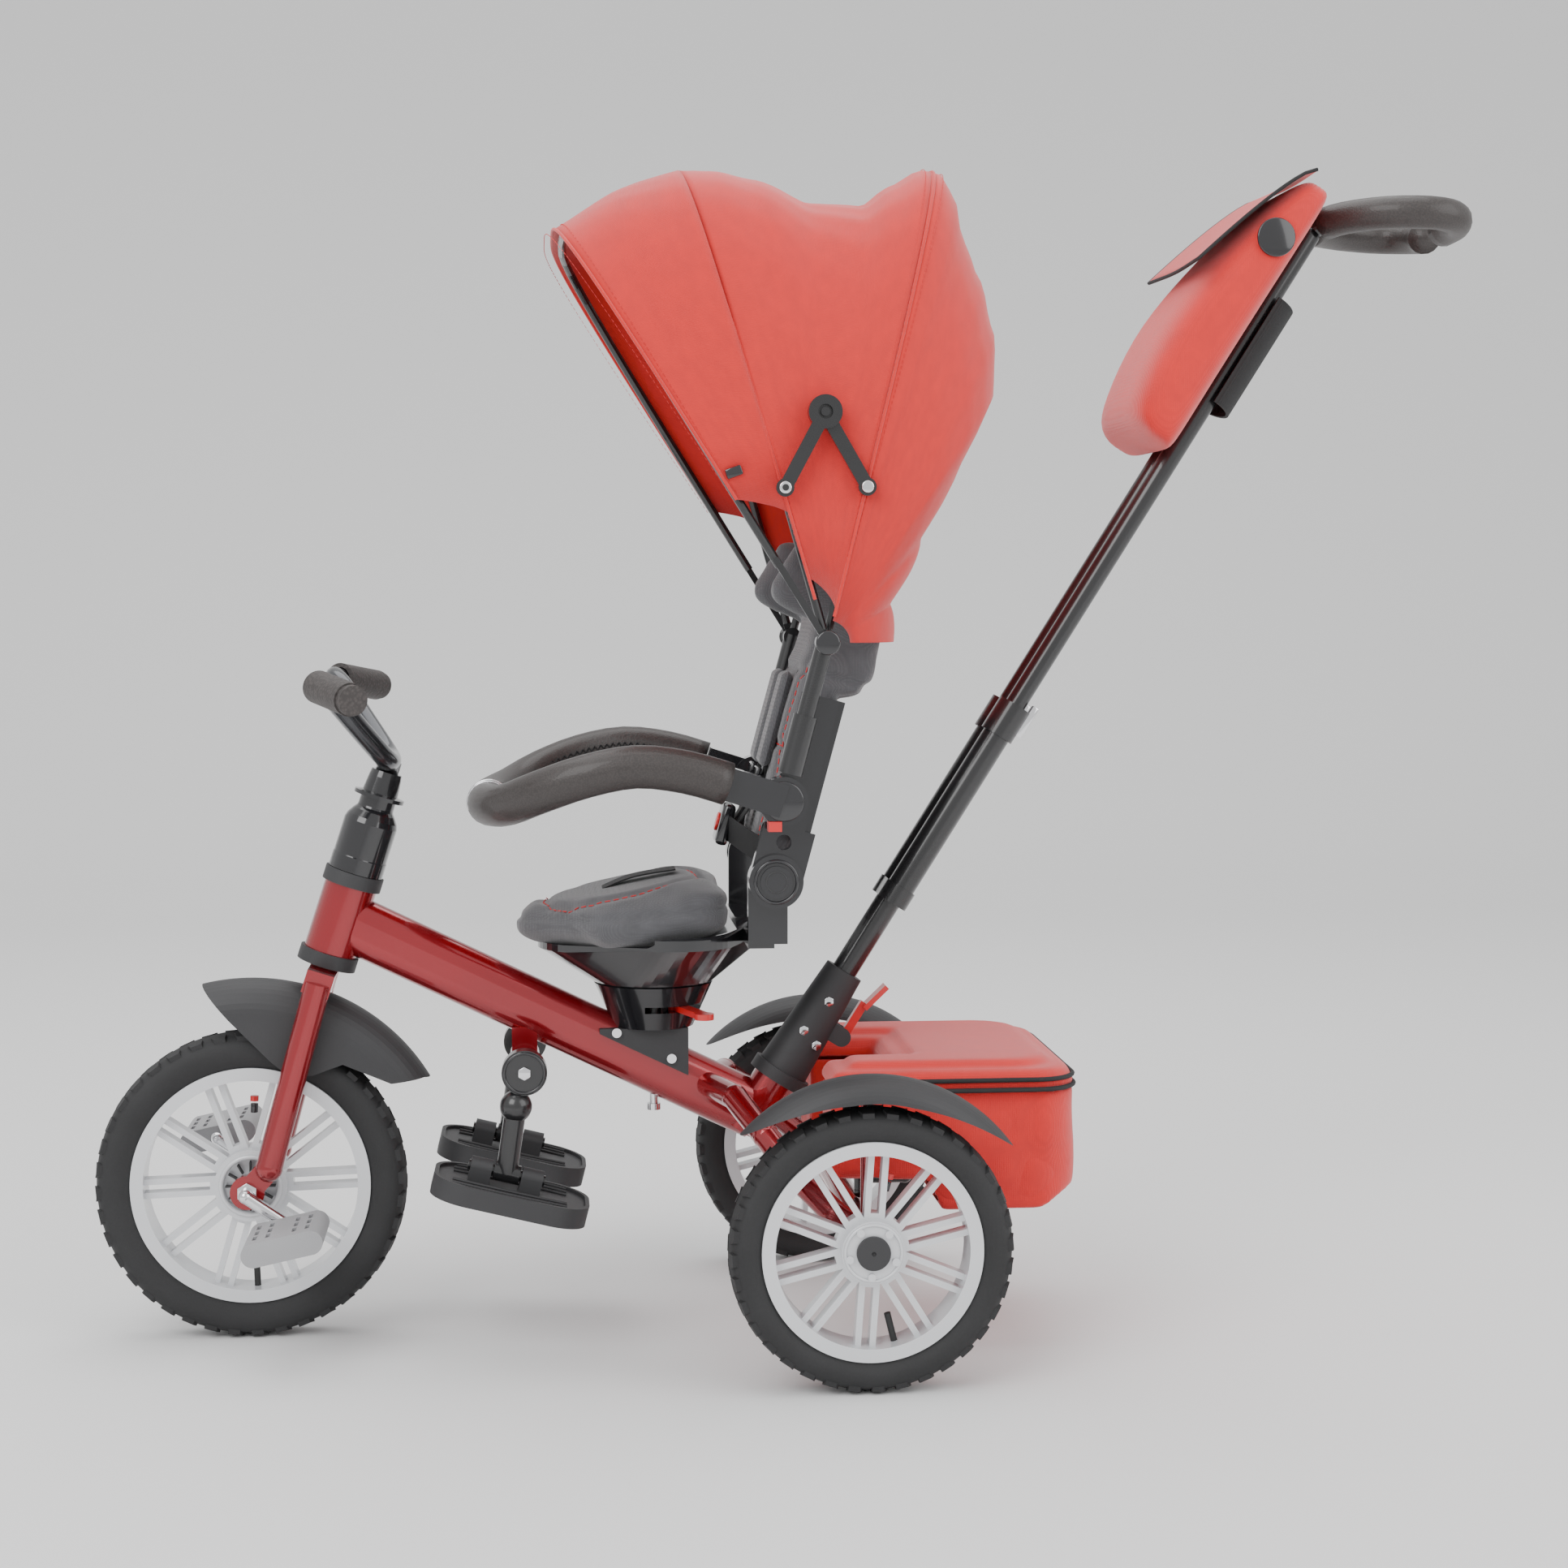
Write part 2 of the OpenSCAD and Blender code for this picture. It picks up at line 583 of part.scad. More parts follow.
bar_path = smooth(mirror_path([
    [bar_base[0], 0, bar_base[1]], [bar_base[0] - 5, 30, bar_base[1] + 6],
    [bar_base[0] - 27, 62, bar_base[1] + 36], [bar_base[0] - 49, 90, bar_base[1] + 66],
    [bar_base[0] - 58, 108, bar_base[1] + 75], grip_start, grip_end]), 4);
module handlebar() color("#1c1c1e") {
    sweep(bar_path, bar_r, 20);
    column(cap_s + 18) cylinder(r = stem_r, h = bar_s - cap_s - 18);
}
module grips() color("#2b2b2d") both_sides() difference() {
    union() {
        rod(grip_start, grip_end, grip_r);
        rod(grip_end, grip_end + 7 * unit(grip_end - grip_start), grip_r - 1.5);
    }
    rod(grip_start - 2 * unit(grip_end - grip_start), grip_end + 0.5 * unit(grip_end - grip_start), bar_r + 0.8);
}
module front_fender() color("#2b2b2d") intersection() {
    at_xz(front_axle) rotate([-90, 0, 0]) rotate([0, 0, -110]) rotate_extrude(angle = 90, $fn = 96) {
        half = fork_half - blade_r - 1.5;
        arch_outline(fork_len - 29, 30, half, 2.5);
        for (s = [-1, 1]) translate([fork_len - 90, s > 0 ? half - 2.5 : -half]) square([61.5, 2.5]);
    }
    at_xz(front_axle) side_plate(-60, 60) polygon([
        [-45, fork_len - 3], [-60, 260], [200, 260], [200, 90], [163, 100], [133, 97], [88, 116],
        [60, 106], [38, 106], [22, 119], [-17, 159]]);
}

// ==== Crank and pedals ====
crank_end = [crank_l * cos(crank_angle), crank_l * sin(crank_angle)];
module crank() color("silver") at_xz(front_axle) {
    across(axle_r, -crank_half, crank_half);
    for (s = [-1, 1]) {
        end = [-s * crank_end[0], s * crank_half, -s * crank_end[1]];
        chain([[0, s * crank_half, 0], end], axle_r);
        rod(end, end + [0, s * (pedal_w + 1), 0], axle_r - 1);
    }
}
module pedal(side) color("lightgray") {
    at_xz([-side * crank_end[0], front_axle[1] - side * crank_end[1]])
        rotate([0, -pedal_tilt, 0]) on_side(side) translate([0, crank_half + axle_r + near_gap, 0])
            difference() {
                union() {
                    translate([-pedal_l / 2 + 9, 0, -pedal_t / 2]) cube([pedal_l - 18, pedal_w, pedal_t]);
                    for (s = [-1, 1]) translate([s * (pedal_l / 2 - 11), 0, 0]) across(pedal_t / 2, 0, pedal_w);
                }
                across(axle_r - 1 + run_fit, -1, pedal_w - 4);
                for (x = [-24, -12, 12, 24], y = [0.25, 0.5, 0.75], z = [-1, 1])
                    translate([x - 2, y * pedal_w - 7, z * pedal_t / 2 - 3]) cube([4, 14, 6]);
            }
}

// ==== Footrest ====
module footrest_arm() color("#1c1c1e") {
    knee = [rest_pivot[0] - 8, rest_pivot[1] - knee_drop];
    at_xz(rest_pivot) across(rest_rod_r, -board_half, board_half);
    both_sides() {
        at_xz(rest_pivot) across(21, board_half - 8, board_half + 8);
        at_xz(knee, board_half) sphere(15);
        rod([knee[0], board_half, knee[1]], [board_hinge[0], board_half, board_hinge[1]], 10);
        board_axes() translate([-12, 0, 0]) rotate([0, 90, 0]) cylinder(r = 9, h = 24);
        board_axes() translate([-36, 0, 0]) rotate([0, 90, 0]) cylinder(r = hinge_bar_r, h = 72);
    }
}
module board_axes() at_xz(board_hinge, board_half) rotate([0, board_tilt, 0]) children();
module foot_board(side) color("#2b2b2d") on_side(side) board_axes() difference() {
    union() {
        translate([8, 0, -board_drop]) board_slab();
        for (x = [-34, 14]) translate([x, 0, 0]) rotate([0, 90, 0]) cylinder(r = 9, h = 20);
        for (x = [-34, 14]) translate([x, -9, -board_drop]) cube([20, 18, board_drop]);
    }
    translate([-60, 0, 0]) rotate([0, 90, 0]) cylinder(r = hinge_bar_r + run_fit, h = 120);
    translate([-13, -30, -10]) cube([26, 60, 40]);
}
module board_slab() {
    corner = board_w / 2 - 14;
    translate([0, 0, -board_t]) {
        linear_extrude(board_t) board_outline(0, corner);
        translate([0, 0, board_t]) linear_extrude(3) difference() {
            board_outline(0, corner);
            board_outline(4, corner);
        }
    }
}
module board_outline(shrink, corner) {
    l = board_l / 2 - shrink;
    w = board_w / 2 - shrink;
    c = corner - shrink;
    translate([-l + c, -w]) square([2 * l - 2 * c, 2 * w]);
    translate([-l, -w + c]) square([2 * l, 2 * w - 2 * c]);
    for (x = [-1, 1], y = [-1, 1]) translate([x * (l - c), y * (w - c)]) circle(c);
}

// ==== Seat ====
module seat_shell() color("#121214") difference() {
    union() {
        hull() {
            at_xz([seat_x, turntable_z + near_gap]) cylinder(r = 56, h = 8, $fn = 48);
            at_xz([seat_x - 46, pan_z - 10]) cylinder(r = 64, h = 8, $fn = 48);
            at_xz([seat_x + 62, pan_z + 6]) cylinder(r = 56, h = 16, $fn = 48);
            both_sides() at_xz([seat_x + 20, pan_z - 2], 62) cylinder(r = 56, h = 10, $fn = 48);
        }
        both_sides() {
            at_xz(hinge_at) across(ear_r, ear_half - ear_t, ear_half);
            at_xz([hinge_at[0], pan_z + 6], ear_half - ear_t)
                translate([-ear_r, 0, 0]) cube([ear_r + 12, ear_t, hinge_at[1] - pan_z - 6]);
            at_xz([hinge_at[0] - ear_r, pan_z + 2], 40) cube([ear_r, ear_half - 41, 12]);
            at_xz(hinge_at) across(recline_pin_r, ear_half - ear_t, rail_out - 4);
        }
    }
    at_xz([seat_x, turntable_z - 1]) cylinder(r = swivel_pin_r + run_fit, h = 20 + near_gap);
    seat_pad_solid(near_gap);
}
module seat_pad_solid(grow) hull() {
    at_xz([seat_x - 94, pan_z - 3 - grow]) cylinder(r = 50 + grow, h = 20 + grow, $fn = 48);
    both_sides() at_xz([seat_x - 30, pan_z + 1 - grow], seat_pad_w / 2 - 50)
        cylinder(r = 50 + grow, h = seat_pad_h - 30 + grow, $fn = 48);
    both_sides() at_xz([seat_x + 50, pan_z + 14 - grow], seat_pad_w / 2 - 26)
        cylinder(r = 24 + grow, h = seat_pad_h - 20 + grow, $fn = 48);
}
module seat_pad() color("dimgray") seat_pad_solid(0);

// ==== Backrest ====
back_in = -20;
back_deep = 20;
rail_back = 14;
shell_top = 172;
module back_shell_outline() {
    wall = rail_out - rail_in;
    for (y = [rail_in, -rail_out]) translate([back_in, y]) square([rail_back - back_in, wall]);
    translate([rail_back, -rail_out + 6]) square([back_deep - rail_back, 2 * rail_out - 12]);
    translate([rail_back - 2, -rail_in - 4]) square([4, 8 + 2 * rail_in]);
}
module back_shell() color("#121214") back() difference() {
    union() {
        translate([0, 0, 34]) linear_extrude(shell_top - 34) back_shell_outline();
        both_sides() {
            across(ear_r + 0.7, rail_in, boss_out);
            translate([-ear_r, rail_in, 0]) cube([2 * ear_r, rail_out - rail_in, 50]);
            translate([guard_x, 0, guard_z]) across(guard_pin_r, rail_in + 2, pole_half + 6);
        }
    }
    both_sides() {
        across(recline_pin_r + run_fit, rail_in - 1, rail_out - 3.5);
        across(button_r + run_fit, rail_out - 3.5, boss_out + 1);
        translate([guard_x + 12, 0, guard_z - 37]) across(7, rail_in - 1, rail_out + 1);
    }
}
module recline_button(side) color("#1c1c1e") back() on_side(side)
    across(button_r, rail_out + 1, boss_out + 2.5);
module pad_roll(x, z, r, l) translate([x, 0, z]) rotate([90, 0, 0]) cylinder(r = r, h = l, center = true, $fn = 24);
module back_pad() color("dimgray") back() {
    hull() {
        pad_roll(-2, 15, 13.5, 190);
        pad_roll(-3, 150, 14.5, 206);
        pad_roll(-2, 196, 13.5, 206);
    }
    hull() {
        pad_roll(14, 202, 26, 196);
        pad_roll(14, 270, 22, 196);
        pad_roll(6, back_pad_l - 18, 18, 150);
    }
    both_sides() hull() {
        translate([-58, 96, 262]) sphere(15, $fn = 24);
        translate([-46, 94, 302]) sphere(15, $fn = 24);
        translate([18, 88, 240]) sphere(16, $fn = 24);
        translate([12, 82, 300]) sphere(14, $fn = 24);
    }
}
module canopy_poles() color("#1c1c1e") back() both_sides() difference() {
    translate([guard_x, pole_half, 0]) {
        translate([0, 0, guard_z + guard_disc_r + 3]) cylinder(r = 11, h = 54);
        translate([0, 0, guard_z + guard_disc_r + 40]) cylinder(r = 8, h = pivot_z - guard_z - guard_disc_r - 38);
        translate([0, 0, pivot_z]) across(9, -6, 8.5 - near_gap);
        translate([0, 0, pivot_z]) across(3, 0, bow_half + 9 - pole_half);
    }
    translate([guard_x, pole_half, pivot_z + 6]) cylinder(r = bow_r + 0.5, h = 20);
}

// ==== Canopy ====
// One bow: up from the pivots, over the top and down again, in a plane through both pivots
function hoop(half, reach, steps, foot = 0) = [for (k = [0:steps]) let (
    a = 180 * k / steps,
    c = cos(a),
    h = sin(a))
    [0, sign(c) * half * pow(abs(c), 0.45), foot + (reach - foot) * pow(max(h, 0), 0.62)]];
function tilt(p, a) = [p[0] * cos(a) + p[2] * sin(a), p[1], p[2] * cos(a) - p[0] * sin(a)];
module canopy() back() translate([guard_x, 0, pivot_z]) children();
module bow(angle, half, foot) rotate([0, angle, 0])
    sweep(hoop(half, canopy_r - bow_r - near_gap - 0.5, 24, foot), bow_r, 12, [1, 0, 0]);
// Cloth stretched over the bows as a fan about the pivots
module cloth(profile, half, t, low) {
    rows = smooth([for (p = profile) [p[0], p[1], 0]], 2);
    cols = 24;
    n = cols + 1;
    outer = [for (r = rows) for (p = hoop(half, r[1], cols, low)) tilt(p, r[0])];
    inner = [for (r = rows) for (p = hoop(half - t, r[1] - t, cols, low)) tilt(p, r[0])];
    m = len(rows) * n;
    last = len(rows) - 1;
    faces = concat(
        [for (i = [0:last - 1], k = [0:cols - 1]) [i * n + k, i * n + k + 1, (i + 1) * n + k + 1, (i + 1) * n + k]],
        [for (i = [0:last - 1], k = [0:cols - 1])
            [m + i * n + k, m + (i + 1) * n + k, m + (i + 1) * n + k + 1, m + i * n + k + 1]],
        [for (k = [0:cols - 1]) [k, m + k, m + k + 1, k + 1]],
        [for (k = [0:cols - 1]) [last * n + k, last * n + k + 1, m + last * n + k + 1, m + last * n + k]],
        [for (i = [0:last - 1]) [i * n, (i + 1) * n, m + (i + 1) * n, m + i * n]],
        [for (i = [0:last - 1])
            [i * n + cols, m + i * n + cols, m + (i + 1) * n + cols, (i + 1) * n + cols]]);
    polyhedron(concat(outer, inner), faces, convexity = 10);
}
module rear_bow() color("#1c1c1e") canopy() {
    bow(rear_angle, pole_half, 8);
    both_sides() rotate([0, rear_angle, 0]) translate([0, 0, leg_s]) across(3, pole_half, leg_in + 6);
}
module front_bow() color("#1c1c1e") canopy() {
    bow(front_angle, bow_half, 12);
    both_sides() {
        difference() {
            union() {
                across(9, pole_half + 8.5, bow_half + 3);
                rotate([0, front_angle, 0]) translate([-bow_r, pole_half + 8.5, 0]) cube([2 * bow_r, 6.5, 14]);
            }
            across(3 + run_fit, pole_half, bow_half + 5);
        }
        rotate([0, front_angle, 0]) translate([0, 0, leg_s]) across(3, bow_half, leg_in + 14);
    }
}
module visor_bow() color("#1c1c1e") canopy() {
    bow(visor_angle, bow_half, 80);
    both_sides() rotate([0, visor_angle, 0]) difference() {
        union() {
            across(9, bow_half + 3.4, bow_half + 7);
            translate([-3, bow_half + 4.4, 0]) cube([6, 2.6, 88]);
            translate([-3, bow_half - 1, 80]) cube([6, 7, 8]);
        }
        across(3 + run_fit, pole_half, bow_half + 10);
    }
}
module eyelets(angle) both_sides() rotate([0, angle, 0]) translate([0, 0, leg_s])
    across(3 + near_gap, cloth_half - 12, cloth_half + 4);
module canopy_rear() color("tomato") canopy() difference() {
    cloth(rear_profile, cloth_half, cloth_t, 20);
    eyelets(rear_angle);
}
module canopy_middle() color("tomato") canopy() difference() {
    cloth(middle_profile, cloth_half, cloth_t, 60);
    eyelets(front_angle);
}
module visor_cover() color("tomato") canopy() cloth(visor_profile, cloth_half, cloth_t, 110);

// Folding stretchers: two legs on each side that meet at a knee
leg_front = [leg_s * sin(front_angle), leg_s * cos(front_angle)];
leg_rear = [leg_s * sin(rear_angle), leg_s * cos(rear_angle)];
knee_angle = (front_angle + rear_angle) / 2;
knee_at = [knee_s * sin(knee_angle), knee_s * cos(knee_angle)];
module leg(foot, y, bore_r) {
    d = [knee_at[0] - foot[0], knee_at[1] - foot[1]];
    difference() {
        union() {
            at_xz(foot) across(8, y, y + 5);
            at_xz(foot) rotate([0, atan2(d[0], d[1]), 0]) translate([-6, y, 0]) cube([12, 5, norm(d)]);
            at_xz(knee_at) across(15, y, y + 5);
        }
        at_xz(foot) across(3 + run_fit, y - 1, y + 6);
        at_xz(knee_at) across(bore_r, y - 1, y + 6);
    }
}
module stretcher_front() color("#1c1c1e") canopy() both_sides() leg(leg_front, leg_in + 5.8, 6.5);
module stretcher_rear() color("#1c1c1e") canopy() both_sides() {
    leg(leg_rear, leg_in, 2);
    at_xz(knee_at) across(4, leg_in + 1, leg_in + 10);
}

// ==== Safety bar ====
module guard_pivot() back() translate([guard_x, 0, guard_z]) children();
guard_at = [hinge_at[0] + guard_x * cos(back_lean) + guard_z * sin(back_lean),
            hinge_at[1] - guard_x * sin(back_lean) + guard_z * cos(back_lean)];
guard_end = [guard_at[0] - 50, guard_half - 3, guard_at[1] + 16];
guard_link_tilt = atan2(16, 50);
guard_link_l = norm([50, 16]) - 1;
guard_path = smooth(mirror_path([
    [guard_at[0] - guard_reach, 0, guard_at[1] - 11], [guard_at[0] - guard_reach + 3, 55, guard_at[1] - 10],
    [guard_at[0] - guard_reach + 20, 110, guard_at[1] - 5],
    [guard_at[0] - guard_reach + 49, 148, guard_at[1] + 9],
    [guard_at[0] - guard_reach + 90, guard_half, guard_at[1] + 24],
    [guard_at[0] - 132, guard_half + 1, guard_at[1] + 32],
    [guard_at[0] - 88, guard_half, guard_at[1] + 27], guard_end]), 3);
module guard_bar() color("#2b2b2d") sweep(guard_path, guard_r, 20, [0, 0, 1]);
module guard_brackets() color("#121214") both_sides() difference() {
    union() {
        at_xz(guard_at) across(guard_disc_r, rail_out + near_gap, pole_half + 11);
        at_xz(guard_at, guard_half - 19) rotate([0, guard_link_tilt, 0])
            translate([-guard_link_l, 0, -15]) cube([guard_link_l, 24, 30]);
    }
    at_xz(guard_at) across(guard_pin_r + run_fit, rail_out - 1, pole_half + 8);
    at_xz(guard_at) translate([-14.4, rail_out, -30]) cube([12.8, 40, 12.4]);
}
module guard_tab(side) color("red") on_side(side) at_xz(guard_at)
    translate([-14, pole_half - 4, -27]) cube([12, 17, 9]);

// ==== Push pole ====
module pole_socket() color("#1c1c1e") pole() {
    difference() {
        union() {
            translate([0, 0, socket_tube_s[0] + 8]) cylinder(r = 18, h = socket_tube_s[1] - socket_tube_s[0] - 7);
            translate([0, 0, socket_tube_s[1] + near_gap]) cylinder(r = 29, h = 12);
            translate([0, 0, socket_tube_s[1] + 12])
                cylinder(r1 = 25, r2 = 19, h = socket_top_s - socket_tube_s[1] - 12);
            translate([14, -9, lever_s - 9]) cube([lever_x - 14, 18, 18]);
            translate([lever_x, 0, lever_s]) across(9, -9, 9);
        }
        translate([0, 0, socket_tube_s[1] + 18]) cylinder(r = pole_r + run_fit, h = 200);
        translate([18, -5, lever_s - 20]) cube([40, 10, 40]);
    }
    translate([lever_x, 0, lever_s]) across(3, -9, 9);
}
module lower_pole() color("#1c1c1e") {
    pole(socket_tube_s[1] + 18) cylinder(r = pole_r, h = twin_s - socket_tube_s[1] - 12);
    pole(twin_s - 8) difference() {
        union() {
            for (s = [-1, 1]) translate([0, s * twin_half, 0]) {
                cylinder(r = upper_tube_r + sleeve_wall, h = collar_s - twin_s);
                translate([0, 0, collar_s - twin_s - 4]) cylinder(r = upper_tube_r + sleeve_wall + 3, h = collar_l);
                cylinder(r = upper_tube_r + sleeve_wall + 2, h = 18);
            }
            translate([-upper_tube_r - sleeve_wall, -twin_half, 0])
                cube([2 * (upper_tube_r + sleeve_wall), 2 * twin_half, 18]);
            translate([-12, -twin_half, collar_s - twin_s]) cube([24, 2 * twin_half, collar_l - 8]);
        }
        for (s = [-1, 1]) translate([0, s * twin_half, 22])
            cylinder(r = upper_tube_r + run_fit, h = collar_s);
    }
}
module pole_lever() color("red") pole() translate([lever_x, 0, lever_s]) difference() {
    union() {
        across(7, -4.5, 4.5);
        translate([-2, -4.5, 0]) cube([8, 9, 40]);
        translate([2, -9, 36]) rotate([0, 14, 0]) cube([5, 18, 30]);
    }
    across(3 + run_fit, -6, 6);
}
handle_top = [pole_foot[0] + handle_s * sin(pole_lean), pole_foot[1] + handle_s * cos(pole_lean)];
tube_low_s = collar_s - 55;
tube_low = [pole_foot[0] + tube_low_s * sin(pole_lean), pole_foot[1] + tube_low_s * cos(pole_lean)];
arm_path = smooth([
    [handle_top[0], twin_half, handle_top[1]], [handle_top[0] + 9, twin_half + 3, handle_top[1] + 9],
    [handle_top[0] + 27, 46, handle_top[1] + 14], [handle_top[0] + 57, 76, handle_top[1] + 15],
    [handle_top[0] + 95, 88, handle_top[1] + 14], [handle_top[0] + 121, 76, handle_top[1] + 12],
    [handle_top[0] + 132, 50, handle_top[1] + 9], [handle_top[0] + 129, 26, handle_top[1] + 6]], 3);
grip_from = 4;
module upper_tubes() color("#1c1c1e") both_sides() {
    rod([tube_low[0], twin_half, tube_low[1]], [handle_top[0], twin_half, handle_top[1]], upper_tube_r);
    translate([handle_top[0], twin_half, handle_top[1]]) sphere(upper_tube_r);
    sweep(stretch(arm_path, 0, len(arm_path) - 2), upper_tube_r - 1.5, 16, [0, 0, 1]);
}
function stretch(p, from, to) = [for (i = [from:to]) p[i]];
module handle_grips() color("#2b2b2d") both_sides() {
    last = len(arm_path) - 1;
    hollow_sweep(stretch(arm_path, grip_from, last), handle_grip_r, upper_tube_r - 1.5 + 0.3, 16);
    rod(arm_path[last] - 2 * unit(arm_path[last] - arm_path[last - 1]),
        arm_path[last] + 3 * unit(arm_path[last] - arm_path[last - 1]), handle_grip_r - 1);
}
pouch_s = handle_s - 254;
module pouch_roll(x, z, r, inset) for (s = [-1, 1])
    translate([-upper_tube_r - near_gap - x - r, s * (pouch_w / 2 - inset), z]) sphere(r, $fn = 24);
module pouch() color("tomato") pole(pouch_s) {
    strap = twin_half + upper_tube_r + 6;
    hull() {
        pouch_roll(0, 14, 14, 14);
        pouch_roll(34, 14, 14, 16);
        pouch_roll(46, 104, 14, 22);
        pouch_roll(0, 256, 12, 12);
        pouch_roll(9, 274, 12, 18);
    }
    for (y = [-strap, strap - 3]) translate([-upper_tube_r - 4, y, 66]) cube([2 * upper_tube_r + 17, 3, 120]);
    translate([upper_tube_r + 10, -strap, 66]) cube([3, 2 * strap, 120]);
}

frame();
headset_cups();
rear_axle();
rear_fender(-1);  // rear_fender_left
rear_fender(1);  // rear_fender_right
basket_carrier();
basket_bag();
basket_lid();
seat_clamp();
swivel_base();
frame_bolts();
fork();
fork_sleeve();
sleeve_cap();
handlebar();
grips();
front_fender();
color("#1a1a1a") tyre(front_axle, 0, front_tyre_r, front_rim_r, -88);  // front_tyre
color("#222222") inner_tube(front_axle, 0, front_tyre_r, front_rim_r, -88, 42);  // front_tube
front_rim();
crank();
pedal(-1);  // pedal_left
pedal(1);  // pedal_right
color("#1a1a1a") tyre(rear_axle_at, -wheel_half, rear_tyre_r, rear_rim_r, -76);  // rear_tyre_left
color("#222222") inner_tube(rear_axle_at, -wheel_half, rear_tyre_r, rear_rim_r, -76, 42);  // rear_tube_left
rear_rim(-1);  // rear_rim_left
hub_cap(-1);  // hub_cap_left
color("#1a1a1a") tyre(rear_axle_at, wheel_half, rear_tyre_r, rear_rim_r, -76);  // rear_tyre_right
color("#222222") inner_tube(rear_axle_at, wheel_half, rear_tyre_r, rear_rim_r, -76, 42);  // rear_tube_right
rear_rim(1);  // rear_rim_right
hub_cap(1);  // hub_cap_right
footrest_arm();
foot_board(-1);  // foot_board_left
foot_board(1);  // foot_board_right
seat_shell();
seat_pad();
swivel_lever();
back_shell();
back_pad();
canopy_poles();
rear_bow();
canopy_rear();
recline_button(-1);  // recline_button_left
recline_button(1);  // recline_button_right
guard_bar();
guard_brackets();
guard_tab(-1);  // guard_tab_left
guard_tab(1);  // guard_tab_right
front_bow();
canopy_middle();
visor_bow();
visor_cover();
stretcher_front();
stretcher_rear();
pole_socket();
lower_pole();
pole_lever();
upper_tubes();
handle_grips();
pouch();
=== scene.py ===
"""Looks of a children's push tricycle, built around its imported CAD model."""
import json
import math

import bmesh
import bpy
from mathutils import Matrix, Vector


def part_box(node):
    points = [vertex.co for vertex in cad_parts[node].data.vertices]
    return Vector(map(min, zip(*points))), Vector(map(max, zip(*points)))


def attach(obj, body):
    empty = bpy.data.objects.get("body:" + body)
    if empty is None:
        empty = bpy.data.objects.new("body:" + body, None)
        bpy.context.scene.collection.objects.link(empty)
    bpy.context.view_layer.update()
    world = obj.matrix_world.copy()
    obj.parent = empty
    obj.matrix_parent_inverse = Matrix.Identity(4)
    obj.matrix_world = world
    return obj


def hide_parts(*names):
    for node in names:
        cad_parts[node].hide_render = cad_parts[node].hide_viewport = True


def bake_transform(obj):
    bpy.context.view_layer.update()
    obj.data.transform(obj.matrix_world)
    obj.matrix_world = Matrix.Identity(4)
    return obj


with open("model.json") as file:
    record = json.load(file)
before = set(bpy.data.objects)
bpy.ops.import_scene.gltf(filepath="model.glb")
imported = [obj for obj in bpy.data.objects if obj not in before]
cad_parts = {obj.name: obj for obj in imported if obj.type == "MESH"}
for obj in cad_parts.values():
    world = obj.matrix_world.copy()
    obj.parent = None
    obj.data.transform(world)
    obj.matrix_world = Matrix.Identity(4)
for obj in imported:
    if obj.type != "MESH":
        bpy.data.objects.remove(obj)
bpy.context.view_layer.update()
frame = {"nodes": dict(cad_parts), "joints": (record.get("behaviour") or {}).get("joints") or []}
JOINT = {j["name"]: Vector(j["pos_m"]) for j in frame["joints"] if "pos_m" in j}
BACK_LEAN = math.radians(15)
SIDES = (-1, 1)

bl_info = {
    "name": "Push tricycle looks",
    "version": (1, 0, 0),
    "blender": (4, 5, 0),
    "location": "View3D > Sidebar > Tricycle",
    "description": "Adds the soft goods, trim and finishes to the tricycle's frame",
    "category": "Add Mesh",
}


# ---- Places, in millimetres from the ground point under the front axle ----
def mm(x, y, z):
    return Vector((x, y, z)) / 1000


def on_back(x, y, z):
    """A point in the backrest's own leaning axes, from the recline hinge."""
    turned = Matrix.Rotation(BACK_LEAN, 3, "Y") @ mm(x, y, z)
    return JOINT["backrest_recline"] + turned


def on_canopy(angle, y, reach):
    """A point at an angle from the backrest's line, reach mm from the canopy pivots."""
    a = math.radians(angle)
    turned = Matrix.Rotation(BACK_LEAN, 3, "Y") @ mm(reach * math.sin(a), y, reach * math.cos(a))
    return JOINT["canopy_fold"] + turned


def on_pole(x, y, s):
    """A point beside the push pole, s mm up from its foot."""
    lean = math.radians(32.2)
    return JOINT["pole_turn"] + Matrix.Rotation(lean, 3, "Y") @ mm(x, y, s)


# ---- Making and finishing a mesh ----
def deselect():
    for other in bpy.context.selected_objects:
        other.select_set(False)


def focus(piece):
    deselect()
    piece.select_set(True)
    bpy.context.view_layer.objects.active = piece


def apply_modifiers(piece):
    focus(piece)
    for modifier in list(piece.modifiers):
        bpy.ops.object.modifier_apply(modifier=modifier.name)


def settle(piece, name, material, body, smooth=35.0):
    """Bakes the piece's place into its mesh, gives it its finish and lets it ride on a body."""
    piece.name = name
    piece.data.name = name
    apply_modifiers(piece)
    bpy.ops.object.transform_apply(location=True, rotation=True, scale=True)
    if smooth:
        bpy.ops.object.shade_smooth_by_angle(angle=math.radians(smooth))
    piece.data.materials.clear()
    piece.data.materials.append(MATERIALS[material])
    if body:
        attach(piece, body)
    return piece


def from_faces(name, points, faces):
    mesh = bpy.data.meshes.new(name)
    mesh.from_pydata([tuple(p) for p in points], [], faces)
    mesh.validate()
    piece = bpy.data.objects.new(name, mesh)
    bpy.context.collection.objects.link(piece)
    return piece


